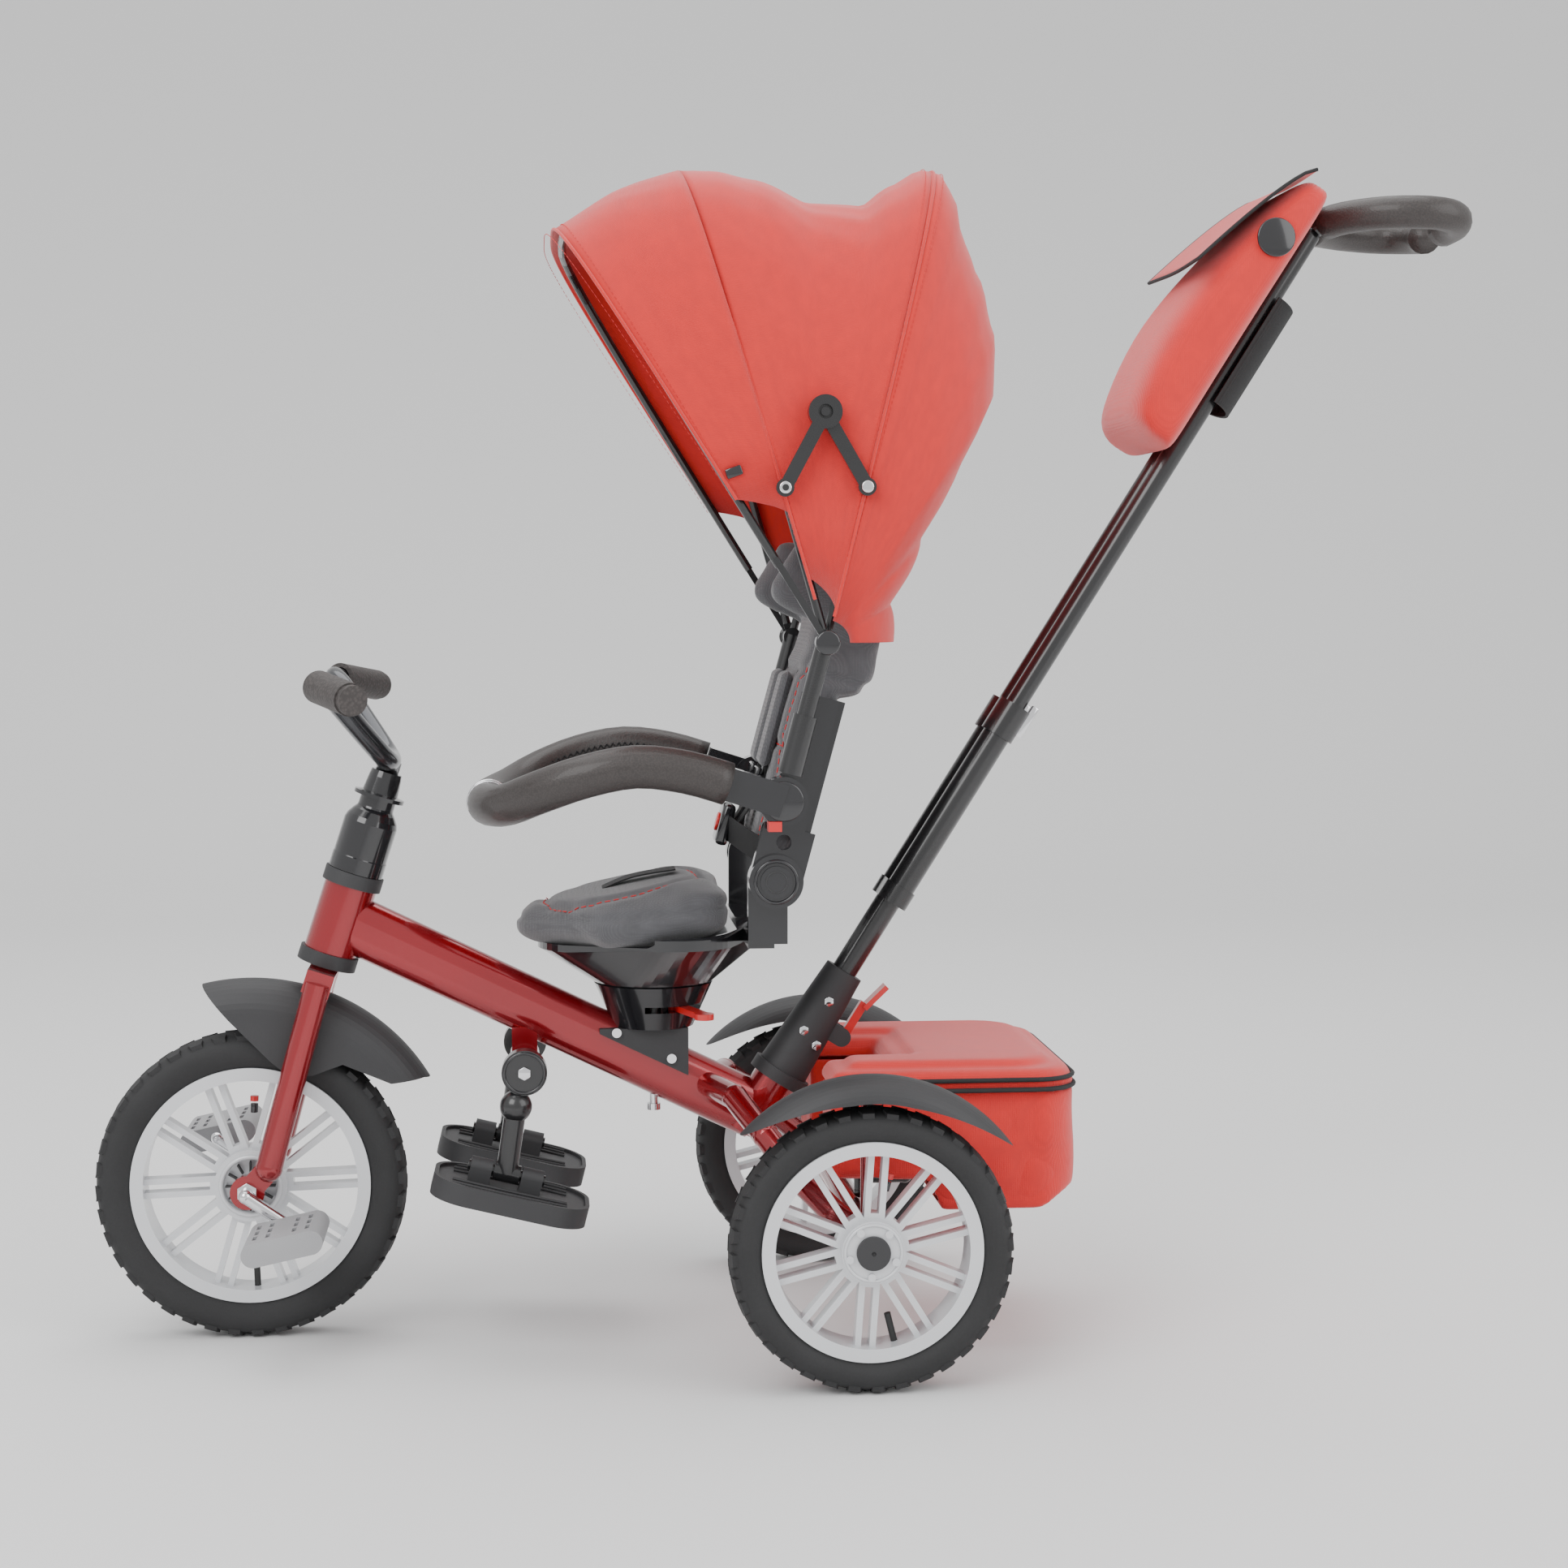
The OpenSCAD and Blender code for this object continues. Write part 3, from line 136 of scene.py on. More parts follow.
def surface(name, rows, closed=False):
    """A sheet through rows of points, with its own UV map in metres along and across."""
    across = len(rows[0])
    points = [p for row in rows for p in row]
    wrap = across if closed else across - 1
    faces = []
    for i in range(len(rows) - 1):
        for k in range(wrap):
            n = (k + 1) % across
            faces.append((i * across + k, i * across + n, (i + 1) * across + n, (i + 1) * across + k))
    piece = from_faces(name, points, faces)
    uv = piece.data.uv_layers.new(name="cloth")
    along = [0.0]
    for i in range(1, len(rows)):
        middle = across // 2
        along.append(along[-1] + (rows[i][middle] - rows[i - 1][middle]).length)
    side = [0.0]
    for k in range(1, across):
        side.append(side[-1] + (rows[0][k] - rows[0][k - 1]).length)
    for loop in piece.data.loops:
        i, k = divmod(loop.vertex_index, across)
        uv.data[loop.index].uv = (side[k], along[i])
    return piece


def solidify(piece, thickness, offset=-1.0, rim=True):
    wall = piece.modifiers.new("wall", "SOLIDIFY")
    wall.thickness = thickness
    wall.offset = offset
    wall.use_rim = rim


def rounded(piece, width, segments=2):
    edge = piece.modifiers.new("edge", "BEVEL")
    edge.width = width
    edge.segments = segments
    edge.limit_method = "ANGLE"


def subdivide(piece, levels):
    finer = piece.modifiers.new("finer", "SUBSURF")
    finer.levels = levels
    finer.render_levels = levels


def block(centre, size, turn=(0, 0, 0), bevel=1.0):
    """A moulded block with rounded edges; sizes in mm, turn in degrees."""
    deselect()
    bpy.ops.mesh.primitive_cube_add(size=1, location=centre, rotation=[math.radians(t) for t in turn])
    piece = bpy.context.active_object
    piece.scale = [s / 1000 for s in size]
    bpy.ops.object.transform_apply(location=False, rotation=False, scale=True)
    rounded(piece, bevel / 1000)
    return piece


def disc(centre, radius, depth, axis=(0, 1, 0), sides=48, bevel=0.8):
    """A turned disc or boss about an axis, with rounded edges; sizes in mm."""
    deselect()
    turn = Vector((0, 0, 1)).rotation_difference(Vector(axis)).to_euler()
    bpy.ops.mesh.primitive_cylinder_add(
        vertices=sides, radius=radius / 1000, depth=depth / 1000, location=centre, rotation=turn)
    piece = bpy.context.active_object
    rounded(piece, bevel / 1000)
    return piece


def ring(centre, radius, thick, axis=(0, 1, 0), sides=64):
    deselect()
    turn = Vector((0, 0, 1)).rotation_difference(Vector(axis)).to_euler()
    bpy.ops.mesh.primitive_torus_add(
        major_radius=radius / 1000, minor_radius=thick / 1000, major_segments=sides,
        minor_segments=10, location=centre, rotation=turn)
    return bpy.context.active_object


def strand(points, radius, closed=False, resolution=3):
    """A round cord, pipe or piping through points; radius in mm."""
    deselect()
    curve = bpy.data.curves.new("strand", "CURVE")
    curve.dimensions = "3D"
    curve.bevel_depth = radius / 1000
    curve.bevel_resolution = resolution
    curve.use_fill_caps = not closed
    spline = curve.splines.new("POLY")
    spline.points.add(len(points) - 1)
    for point, place in zip(spline.points, points):
        point.co = (*place, 1)
    spline.use_cyclic_u = closed
    piece = bpy.data.objects.new("strand", curve)
    bpy.context.collection.objects.link(piece)
    focus(piece)
    bpy.ops.object.convert(target="MESH")
    return bpy.context.active_object


def smooth_path(points, steps=8):
    """Catmull-Rom curve through points."""
    path = []
    for i in range(len(points) - 1):
        a = points[max(i - 1, 0)]
        b = points[i]
        c = points[i + 1]
        d = points[min(i + 2, len(points) - 1)]
        for k in range(steps):
            t = k / steps
            path.append(0.5 * (2 * b + (c - a) * t + (2 * a - 5 * b + 4 * c - d) * t * t
                               + (3 * b - a - 3 * c + d) * t ** 3))
    path.append(points[-1])
    return path


def strap(points, width, side, thick=1.4):
    """Flat webbing along a path, lying across the side direction; sizes in mm."""
    half = Vector(side).normalized() * (width / 2000)
    rows = [[p - half, p - half * 0.5, p, p + half * 0.5, p + half] for p in points]
    piece = surface("strap", rows)
    solidify(piece, thick / 1000, 0)
    return piece


def join(pieces):
    deselect()
    for piece in pieces:
        piece.select_set(True)
    bpy.context.view_layer.objects.active = pieces[0]
    for piece in pieces:
        bpy.context.view_layer.objects.active = piece
        for modifier in list(piece.modifiers):
            bpy.ops.object.modifier_apply(modifier=modifier.name)
    bpy.context.view_layer.objects.active = pieces[0]
    if len(pieces) > 1:
        bpy.ops.object.join()
    return bpy.context.active_object


def stitches(path, normal, length=4.5, gap=3.0, radius=0.5):
    """A row of short raised threads along a path; sizes in mm."""
    points = []
    faces = []
    travelled = 0.0
    up = Vector(normal).normalized()
    step = (length + gap) / 1000
    target = 0.0
    for a, b in zip(path, path[1:]):
        run = (b - a).length
        if run < 1e-9:
            continue
        along = (b - a) / run
        side = along.cross(up).normalized()
        while target < travelled + run:
            start = a + along * (target - travelled)
            base = len(points)
            for s in (0, length / 1000):
                for d in (side, up, -side, -up):
                    points.append(start + along * s + d * radius / 1000)
            for k in range(4):
                n = (k + 1) % 4
                faces.append((base + k, base + n, base + 4 + n, base + 4 + k))
            faces.append((base + 3, base + 2, base + 1, base))
            faces.append((base + 4, base + 5, base + 6, base + 7))
            target += step
        travelled += run
    return from_faces("stitches", points, faces)


def refined(node, name, material, body, angle=50.0, levels=0):
    """A smooth-shaded copy of a CAD node that stands for it."""
    source = frame["nodes"][node]
    piece = source.copy()
    piece.data = source.data.copy()
    piece.parent = None
    piece.matrix_world = Matrix.Identity(4)
    bpy.context.collection.objects.link(piece)
    merged = bmesh.new()
    merged.from_mesh(piece.data)
    bmesh.ops.remove_doubles(merged, verts=merged.verts, dist=1e-5)
    merged.to_mesh(piece.data)
    merged.free()
    for key in list(piece.keys()):
        del piece[key]
    if levels:
        subdivide(piece, levels)
    settle(piece, name, material, body, angle)
    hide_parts(node)
    return piece


def inflate(piece, voxel=0.006, pressure=4.0, cap=0.010, frames=20):
    """Swells a closed shape into a stuffed one by cloth simulation, then keeps the result."""
    focus(piece)
    finer = piece.modifiers.new("voxel", "REMESH")
    finer.mode = "VOXEL"
    finer.voxel_size = voxel
    apply_modifiers(piece)
    rest = [v.co.copy() for v in piece.data.vertices]
    cloth = piece.modifiers.new("stuffing", "CLOTH")
    cloth.settings.use_pressure = True
    cloth.settings.uniform_pressure_force = pressure
    cloth.settings.effector_weights.gravity = 0
    cloth.settings.quality = 4
    for step in range(1, frames + 1):
        bpy.context.scene.frame_set(step)
    apply_modifiers(piece)
    bpy.context.scene.frame_set(1)
    for vertex, start in zip(piece.data.vertices, rest):
        move = vertex.co - start
        if move.length > cap:
            vertex.co = start + move.normalized() * cap
    soften = piece.modifiers.new("soften", "SMOOTH")
    soften.iterations = 4
    subdivide(piece, 1)
    apply_modifiers(piece)
    return piece


def press_seam(piece, distance_to_seam, depth, width):
    """Sinks the surface along a sewn line, given a function from point to distance in mm."""
    piece.data.update()
    for vertex in piece.data.vertices:
        d = abs(distance_to_seam(vertex.co * 1000))
        if d < width:
            vertex.co -= vertex.normal * (depth / 1000) * (1 + math.cos(math.pi * d / width)) / 2


# ---- Finishes ----
MATERIALS = {}


def new_group(name, sockets_in, sockets_out):
    group = bpy.data.node_groups.new(name, "ShaderNodeTree")
    for label, kind, default in sockets_in:
        socket = group.interface.new_socket(name=label, in_out="INPUT", socket_type=kind)
        if default is not None:
            socket.default_value = default
    for label, kind in sockets_out:
        group.interface.new_socket(name=label, in_out="OUTPUT", socket_type=kind)
    return group, group.nodes.new("NodeGroupInput"), group.nodes.new("NodeGroupOutput")


def math_node(tree, kind, a, b):
    node = tree.nodes.new("ShaderNodeMath")
    node.operation = kind
    for socket, value in ((node.inputs[0], a), (node.inputs[1], b)):
        if isinstance(value, (int, float)):
            socket.default_value = value
        else:
            tree.links.new(value, socket)
    return node.outputs[0]


def grain_group():
    """Fine moulded or cast grain with slow patches: a height, and a shade from 0 to 1."""
    group, start, end = new_group(
        "Surface grain",
        [("Vector", "NodeSocketVector", None), ("Grain", "NodeSocketFloat", 900.0),
         ("Patches", "NodeSocketFloat", 14.0)],
        [("Height", "NodeSocketFloat"), ("Shade", "NodeSocketFloat")])
    fine = group.nodes.new("ShaderNodeTexNoise")
    fine.inputs["Detail"].default_value = 2
    slow = group.nodes.new("ShaderNodeTexNoise")
    slow.inputs["Detail"].default_value = 3
    for node, label in ((fine, "Grain"), (slow, "Patches")):
        group.links.new(start.outputs["Vector"], node.inputs["Vector"])
        group.links.new(start.outputs[label], node.inputs["Scale"])
    group.links.new(fine.outputs["Fac"], end.inputs["Height"])
    mixed = math_node(group, "MULTIPLY", fine.outputs["Fac"], 0.35)
    slow_part = math_node(group, "MULTIPLY", slow.outputs["Fac"], 0.65)
    group.links.new(math_node(group, "ADD", mixed, slow_part), end.inputs["Shade"])
    return group


def weave_group():
    """Plain weave of crossing threads: a height, and a shade from 0 to 1."""
    group, start, end = new_group(
        "Woven threads",
        [("Vector", "NodeSocketVector", None), ("Threads", "NodeSocketFloat", 700.0)],
        [("Height", "NodeSocketFloat"), ("Shade", "NodeSocketFloat")])
    waves = []
    for direction in ("X", "Y", "Z"):
        wave = group.nodes.new("ShaderNodeTexWave")
        wave.bands_direction = direction
        wave.inputs["Distortion"].default_value = 0.6
        wave.inputs["Detail"].default_value = 1
        group.links.new(start.outputs["Vector"], wave.inputs["Vector"])
        group.links.new(start.outputs["Threads"], wave.inputs["Scale"])
        waves.append(wave.outputs["Fac"])
    crossed = math_node(group, "MULTIPLY", waves[0], waves[1])
    third = math_node(group, "MULTIPLY", crossed, waves[2])
    total = math_node(group, "ADD", crossed, third)
    group.links.new(total, end.inputs["Height"])
    slub = group.nodes.new("ShaderNodeTexNoise")
    slub.inputs["Scale"].default_value = 60
    slub.inputs["Detail"].default_value = 4
    group.links.new(start.outputs["Vector"], slub.inputs["Vector"])
    part = math_node(group, "MULTIPLY", total, 0.3)
    rest = math_node(group, "MULTIPLY", slub.outputs["Fac"], 0.7)
    group.links.new(math_node(group, "ADD", part, rest), end.inputs["Shade"])
    return group


def leather_group():
    """Pebbled leatherette: a height, and a shade from 0 to 1."""
    group, start, end = new_group(
        "Leather pebbles",
        [("Vector", "NodeSocketVector", None), ("Pebbles", "NodeSocketFloat", 420.0)],
        [("Height", "NodeSocketFloat"), ("Shade", "NodeSocketFloat")])
    cells = group.nodes.new("ShaderNodeTexVoronoi")
    cells.feature = "F1"
    group.links.new(start.outputs["Vector"], cells.inputs["Vector"])
    group.links.new(start.outputs["Pebbles"], cells.inputs["Scale"])
    height = math_node(group, "SUBTRACT", 1.0, cells.outputs["Distance"])
    group.links.new(height, end.inputs["Height"])
    group.links.new(math_node(group, "MULTIPLY", height, 0.8), end.inputs["Shade"])
    return group


def finish(name, colour, rough, group, pattern, depth, metal=0.0, coat=0.0, vary=0.25,
           rough_vary=0.12, sheen=0.0, use_uv=False):
    """A material whose colour, gloss and bump all follow one shared surface pattern."""
    material = bpy.data.materials.new(name)
    material.use_nodes = True
    tree = material.node_tree
    shader = tree.nodes["Principled BSDF"]
    place = tree.nodes.new("ShaderNodeTexCoord")
    node = tree.nodes.new("ShaderNodeGroup")
    node.node_tree = group
    tree.links.new(place.outputs["UV" if use_uv else "Object"], node.inputs["Vector"])
    for label, value in pattern.items():
        node.inputs[label].default_value = value
    ramp = tree.nodes.new("ShaderNodeValToRGB")
    dark = [c * (1 - vary) for c in colour]
    light = [min(c * (1 + vary), 1.0) for c in colour]
    ramp.color_ramp.elements[0].position = 0.25
    ramp.color_ramp.elements[0].color = (*dark, 1)
    ramp.color_ramp.elements[1].position = 0.75
    ramp.color_ramp.elements[1].color = (*light, 1)
    tree.links.new(node.outputs["Shade"], ramp.inputs["Fac"])
    tree.links.new(ramp.outputs["Color"], shader.inputs["Base Color"])
    gloss = math_node(tree, "MULTIPLY_ADD", node.outputs["Shade"], rough_vary)
    gloss.node.inputs[2].default_value = rough - rough_vary / 2
    tree.links.new(gloss, shader.inputs["Roughness"])
    bump = tree.nodes.new("ShaderNodeBump")
    bump.inputs["Strength"].default_value = 1.0
    bump.inputs["Distance"].default_value = depth / 1000
    tree.links.new(node.outputs["Height"], bump.inputs["Height"])
    tree.links.new(bump.outputs["Normal"], shader.inputs["Normal"])
    shader.inputs["Metallic"].default_value = metal
    shader.inputs["Coat Weight"].default_value = coat
    shader.inputs["Coat Roughness"].default_value = 0.06
    shader.inputs["Sheen Weight"].default_value = sheen
    MATERIALS[name] = material
    return material


NODE_FINISH = {
    "candy red": ["frame", "fork"],
    "black paint": ["basket_carrier", "footrest_arm", "canopy_poles", "stretcher_front",
                    "stretcher_rear", "lower_pole", "upper_tubes", "rear_bow", "front_bow", "visor_bow"],
    "gunmetal": ["handlebar"],
    "gloss black": ["seat_shell", "back_shell", "guard_brackets", "swivel_base", "fork_sleeve",
                    "sleeve_cap", "recline_button_left", "recline_button_right"],
    "matte black": ["headset_cups", "rear_fender_left", "rear_fender_right", "front_fender",
                    "seat_clamp", "hub_cap_left", "hub_cap_right", "foot_board_left",
                    "foot_board_right", "pole_socket"],
    "tyre rubber": ["front_tyre", "rear_tyre_left", "rear_tyre_right"],
    "tube rubber": ["front_tube", "rear_tube_left", "rear_tube_right"],
    "rim silver": ["front_rim", "rear_rim_left", "rear_rim_right"],
    "chrome": ["crank", "rear_axle", "frame_bolts"],
    "coral cloth": ["basket_bag", "basket_lid", "canopy_rear", "canopy_middle", "visor_cover", "pouch"],
    "seat cloth": ["seat_pad", "back_pad"],
    "grip rubber": ["grips"],
    "leatherette": ["guard_bar", "handle_grips"],
    "pedal grey": ["pedal_left", "pedal_right"],
    "red plastic": ["swivel_lever", "guard_tab_left", "guard_tab_right", "pole_lever"],
}


class TricycleColours(bpy.types.PropertyGroup):
    """Colours that a user may change."""
    paint: bpy.props.FloatVectorProperty(
        name="Frame paint", description="Deep candy colour of the frame and fork",
        subtype="COLOR", default=(0.30, 0.006, 0.012))
    cloth: bpy.props.FloatVectorProperty(
        name="Cloth", description="Colour of the canopy, bag and pouch",
        subtype="COLOR", default=(0.68, 0.012, 0.009))
    padding: bpy.props.FloatVectorProperty(
        name="Padding", description="Colour of the seat and back pads",
        subtype="COLOR", default=(0.085, 0.085, 0.092))
    thread: bpy.props.FloatVectorProperty(
        name="Thread", description="Colour of the decorative stitching",
        subtype="COLOR", default=(0.62, 0.03, 0.03))


class TricycleSizes(bpy.types.PropertyGroup):
    """Sizes of the trim that a user may change, in millimetres."""
    webbing: bpy.props.FloatProperty(
        name="Webbing", description="Width of the harness straps in mm", default=25.0)
    piping: bpy.props.FloatProperty(
        name="Piping", description="Radius of the piping on cloth edges in mm", default=2.2)
    tread: bpy.props.FloatProperty(
        name="Tread", description="Height of the tyre blocks in mm", default=3.0)
    stitch: bpy.props.FloatProperty(
        name="Stitch", description="Length of one visible stitch in mm", default=5.0)


class TRICYCLE_OT_finishes(bpy.types.Operator):
    """Makes every material and puts it on the CAD pieces"""
    bl_idname = "tricycle.finishes"
    bl_label = "Finishes"

    def execute(self, context):
        colours = context.scene.tricycle_colours
        grain = grain_group()
        weave = weave_group()
        leather = leather_group()
        fine = {"Grain": 1400.0, "Patches": 12.0}
        coarse = {"Grain": 520.0, "Patches": 20.0}
        smooth = {"Grain": 2600.0, "Patches": 7.0}
        finish("candy red", colours.paint, 0.22, grain, smooth, 0.01, metal=0.55, coat=1.0, vary=0.18)
        finish("black paint", (0.012, 0.012, 0.013), 0.28, grain, smooth, 0.01, coat=0.5, vary=0.3)
        finish("gunmetal", (0.075, 0.078, 0.085), 0.26, grain, smooth, 0.01, metal=0.85, coat=0.6)
        finish("gloss black", (0.011, 0.011, 0.013), 0.16, grain, smooth, 0.008, coat=0.7)
        finish("matte black", (0.032, 0.032, 0.034), 0.55, grain, fine, 0.05, vary=0.25)
        finish("tyre rubber", (0.020, 0.020, 0.021), 0.72, grain, coarse, 0.10, vary=0.3)
        finish("tube rubber", (0.02, 0.02, 0.02), 0.6, grain, coarse, 0.05)
        finish("rim silver", (0.66, 0.67, 0.69), 0.32, grain, smooth, 0.01, metal=0.25, coat=0.4, vary=0.05)
        finish("chrome", (0.78, 0.78, 0.80), 0.14, grain, smooth, 0.005, metal=1.0, vary=0.06)
        finish("coral cloth", colours.cloth, 0.72, weave, {"Threads": 260.0}, 0.12, vary=0.10,
               sheen=0.35, use_uv=True)
        finish("coral padding", colours.cloth, 0.72, weave, {"Threads": 260.0}, 0.12, vary=0.10, sheen=0.35)
        finish("seat cloth", colours.padding, 0.82, weave, {"Threads": 300.0}, 0.16, vary=0.22, sheen=0.4)
        finish("webbing", (0.016, 0.016, 0.017), 0.7, weave, {"Threads": 420.0}, 0.2, vary=0.3)
        finish("grip rubber", (0.060, 0.052, 0.050), 0.62, leather, {"Pebbles": 330.0}, 0.45, vary=0.3)
        finish("leatherette", (0.040, 0.033, 0.031), 0.5, leather, {"Pebbles": 620.0}, 0.18,
               vary=0.25, coat=0.15)
        finish("pedal grey", (0.33, 0.33, 0.34), 0.55, grain, fine, 0.05, vary=0.12)
        finish("red plastic", (0.62, 0.018, 0.018), 0.3, grain, smooth, 0.01, coat=0.4, vary=0.1)
        finish("thread red", colours.thread, 0.65, grain, fine, 0.05)
        for material, nodes in NODE_FINISH.items():
            for node in nodes:
                node_object = frame["nodes"][node]
                node_object.data.materials.clear()
                node_object.data.materials.append(MATERIALS[material])
        return {"FINISHED"}


class TRICYCLE_OT_stage(bpy.types.Operator):
    """Adds the pale floor, soft studio light and camera"""
    bl_idname = "tricycle.stage"
    bl_label = "Stage"

    def execute(self, context):
        rows = []
        for k in range(33):
            y = -6 + 14 * k / 32
            rise = max(0.0, y - 3.4)
            z = 0.45 * rise * rise
            rows.append([Vector((x, y, z)) for x in (-9, -3, 3, 9)])
        floor = surface("floor", rows)
        sheet = bpy.data.materials.new("pale floor")
        sheet.use_nodes = True
        shader = sheet.node_tree.nodes["Principled BSDF"]
        shader.inputs["Base Color"].default_value = (0.80, 0.80, 0.80, 1)
        shader.inputs["Roughness"].default_value = 0.9
        MATERIALS["pale floor"] = sheet
        settle(floor, "floor", "pale floor", None, 60)
        world = bpy.data.worlds.new("studio")
        world.use_nodes = True
        world.node_tree.nodes["Background"].inputs["Color"].default_value = (1, 1, 1, 1)
        world.node_tree.nodes["Background"].inputs["Strength"].default_value = 0.95
        context.scene.world = world
        for name, place, size, power in (
                ("key light", (-1.6, -2.6, 2.9), 2.4, 85), ("fill light", (2.8, -1.6, 1.8), 2.4, 38),
                ("top light", (0.3, 0.6, 3.4), 3.0, 60)):
            light = bpy.data.lights.new(name, "AREA")
            light.energy = power
            light.size = size
            lamp = bpy.data.objects.new(name, light)
            context.collection.objects.link(lamp)
            lamp.location = place
            lamp.rotation_euler = (Vector((0.35, 0, 0.5)) - lamp.location).to_track_quat("-Z", "Y").to_euler()
        camera = bpy.data.cameras.new("camera")
        camera.lens = 60.3
        camera.sensor_width = 36
        eye = bpy.data.objects.new("camera", camera)
        context.collection.objects.link(eye)
        eye.location = (0.2725, -2.4974, 0.7031)
        eye.rotation_euler = (math.radians(90 - 4.15), 0, math.radians(-5.36))
        context.scene.camera = eye
        return {"FINISHED"}


# ---- Wheels ----
TYRE_STEPS = 144
# Name, body, CAD tyre and number of shoulder blocks a side
WHEELS = (("front", "front_wheel", "front_tyre", 40),
          ("left", "rear_wheel_left", "rear_tyre_left", 36),
          ("right", "rear_wheel_right", "rear_tyre_right", 36))


def wheel_middle(node):
    low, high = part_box(node)
    middle = (Vector(low) + Vector(high)) / 2
    return middle, (high[0] - low[0]) / 2, (high[1] - low[1]) / 2


class TRICYCLE_OT_tyres(bpy.types.Operator):
    """Replaces the tyres with treaded ones and adds the valve caps"""
    bl_idname = "tricycle.tyres"
    bl_label = "Tyres"

    def execute(self, context):
        tread = context.scene.tricycle_sizes.tread / 1000
        for name, body, node, count in WHEELS:
            middle, radius, half = wheel_middle(node)
            rim = radius - 0.034 if name == "front" else radius - 0.029
            inner = rim - 0.007
            profile = [(inner, -0.66), (rim, -0.70), (rim + 0.006, -0.90), (radius - 0.018, -1.0),
                       (radius - 0.011, -0.97), (radius - 0.006, -0.80), (radius - tread, -0.50),
                       (radius - tread * 0.6, -0.16), (radius - 0.0016, -0.12), (radius - 0.0005, 0)]
            profile += [(r, -w) for r, w in reversed(profile[:-1])]
            rows = []
            steps = TYRE_STEPS
            for k in range(steps + 1):
                a = 2 * math.pi * (k % steps) / steps
                rows.append([middle + Vector((r * math.sin(a), w * half, r * math.cos(a)))
                             for r, w in profile])
            casing = surface("casing", rows, closed=True)
            focus(casing)
            bpy.ops.object.mode_set(mode="EDIT")
            bpy.ops.mesh.select_all(action="SELECT")
            bpy.ops.mesh.remove_doubles(threshold=1e-6)
            bpy.ops.mesh.normals_make_consistent(inside=False)
            bpy.ops.object.mode_set(mode="OBJECT")
            points = []
            faces = []
            pitch = 2 * math.pi / count
            for k in range(count):
                for edge in SIDES:
                    angle = 2 * math.pi * (k + 0.25 * edge) / count
                    self.add_block(points, faces, middle, radius, half, edge, angle, pitch, tread)
            tyre = join([casing, from_faces("blocks", points, faces)])
            settle(tyre, f"{name}_treaded_tyre", "tyre rubber", body, 40)
            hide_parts(node)
            stem = -88 if name == "front" else -76
            a = math.radians(stem)
            out = Vector((math.cos(a), 0, -math.sin(a)))
            tip = middle + out * (inner - 0.034)
            cap = disc(tip, 3.6, 9, out, 16, 0.6)
            settle(cap, f"{name}_valve_cap", "gloss black", body, 40)
            nut = disc(tip + out * 0.009, 4.4, 5, out, 6, 0.3)
            settle(nut, f"{name}_valve_collar", "red plastic", body, 30)
        return {"FINISHED"}

    @staticmethod
    def add_block(points, faces, middle, radius, half, edge, angle, pitch, tread):
        """One shoulder block: a slanted wedge that widens outwards."""
        base = len(points)
        outline = ((0.17, -0.30), (0.17, 0.16), (0.50, 0.34), (0.86, 0.30), (0.86, -0.22), (0.5, -0.38))
        for lift in (0, 1):
            for w, turn in outline:
                crown = radius - 0.0002 - 0.0068 * max(0.0, w - 0.35) ** 1.3
                r = crown - (tread + 0.003) * (1 - lift)
                a = angle + pitch * turn * (1 - 0.08 * lift)
                points.append(middle + Vector((r * math.sin(a), edge * w * half, r * math.cos(a))))
        n = len(outline)
        walls = [(base + k, base + (k + 1) % n, base + n + (k + 1) % n, base + n + k) for k in range(n)]
        caps = [tuple(base + n + k for k in range(n)), tuple(base + k for k in reversed(range(n)))]
        for face in walls + caps:
            faces.append(face if edge > 0 else tuple(reversed(face)))


class TRICYCLE_OT_hubs(bpy.types.Operator):
    """Adds the hub fins, nuts and washers of the wheels"""
    bl_idname = "tricycle.hubs"
    bl_label = "Hubs"

    def execute(self, context):
        middle, radius, half = wheel_middle("front_tyre")
        for side in SIDES:
            fins = []
            for k in range(12):
                a = 2 * math.pi * k / 12
                place = middle + Vector((0.0185 * math.cos(a), side * 0.0185, 0.0185 * math.sin(a)))
                fins.append(block(place, (10, 7, 1.6), (0, -math.degrees(a), 0), 0.4))
            label = "left" if side < 0 else "right"
            settle(join(fins), f"front_hub_fins_{label}", "matte black", "front_wheel", 30)
            lip = ring(middle + Vector((0, side * 0.0195, 0)), 27.5, 2.4)
            settle(lip, f"front_hub_lip_{label}", "rim silver", "front_wheel", 60)
            nut = disc(middle + Vector((0, side * 0.0505, 0)), 10, 3.4, (0, side, 0), 6, 0.6)
            settle(nut, f"fork_nut_{label}", "chrome", "steering", 30)
            rear, _, _ = wheel_middle(f"rear_tyre_{label}")
            trim = ring(rear + Vector((0, side * 0.0195, 0)), 25, 1.6)
            settle(trim, f"rear_hub_ring_{label}", "rim silver", f"rear_wheel_{label}", 60)
        return {"FINISHED"}


# ---- Seat ----
def cad_copy(node):
    source = frame["nodes"][node]
    mesh = source.data.copy()
    piece = bpy.data.objects.new(node + "_copy", mesh)
    bpy.context.collection.objects.link(piece)
    merged = bmesh.new()
    merged.from_mesh(mesh)
    bmesh.ops.remove_doubles(merged, verts=merged.verts, dist=1e-5)
    merged.to_mesh(mesh)
    merged.free()
    return piece


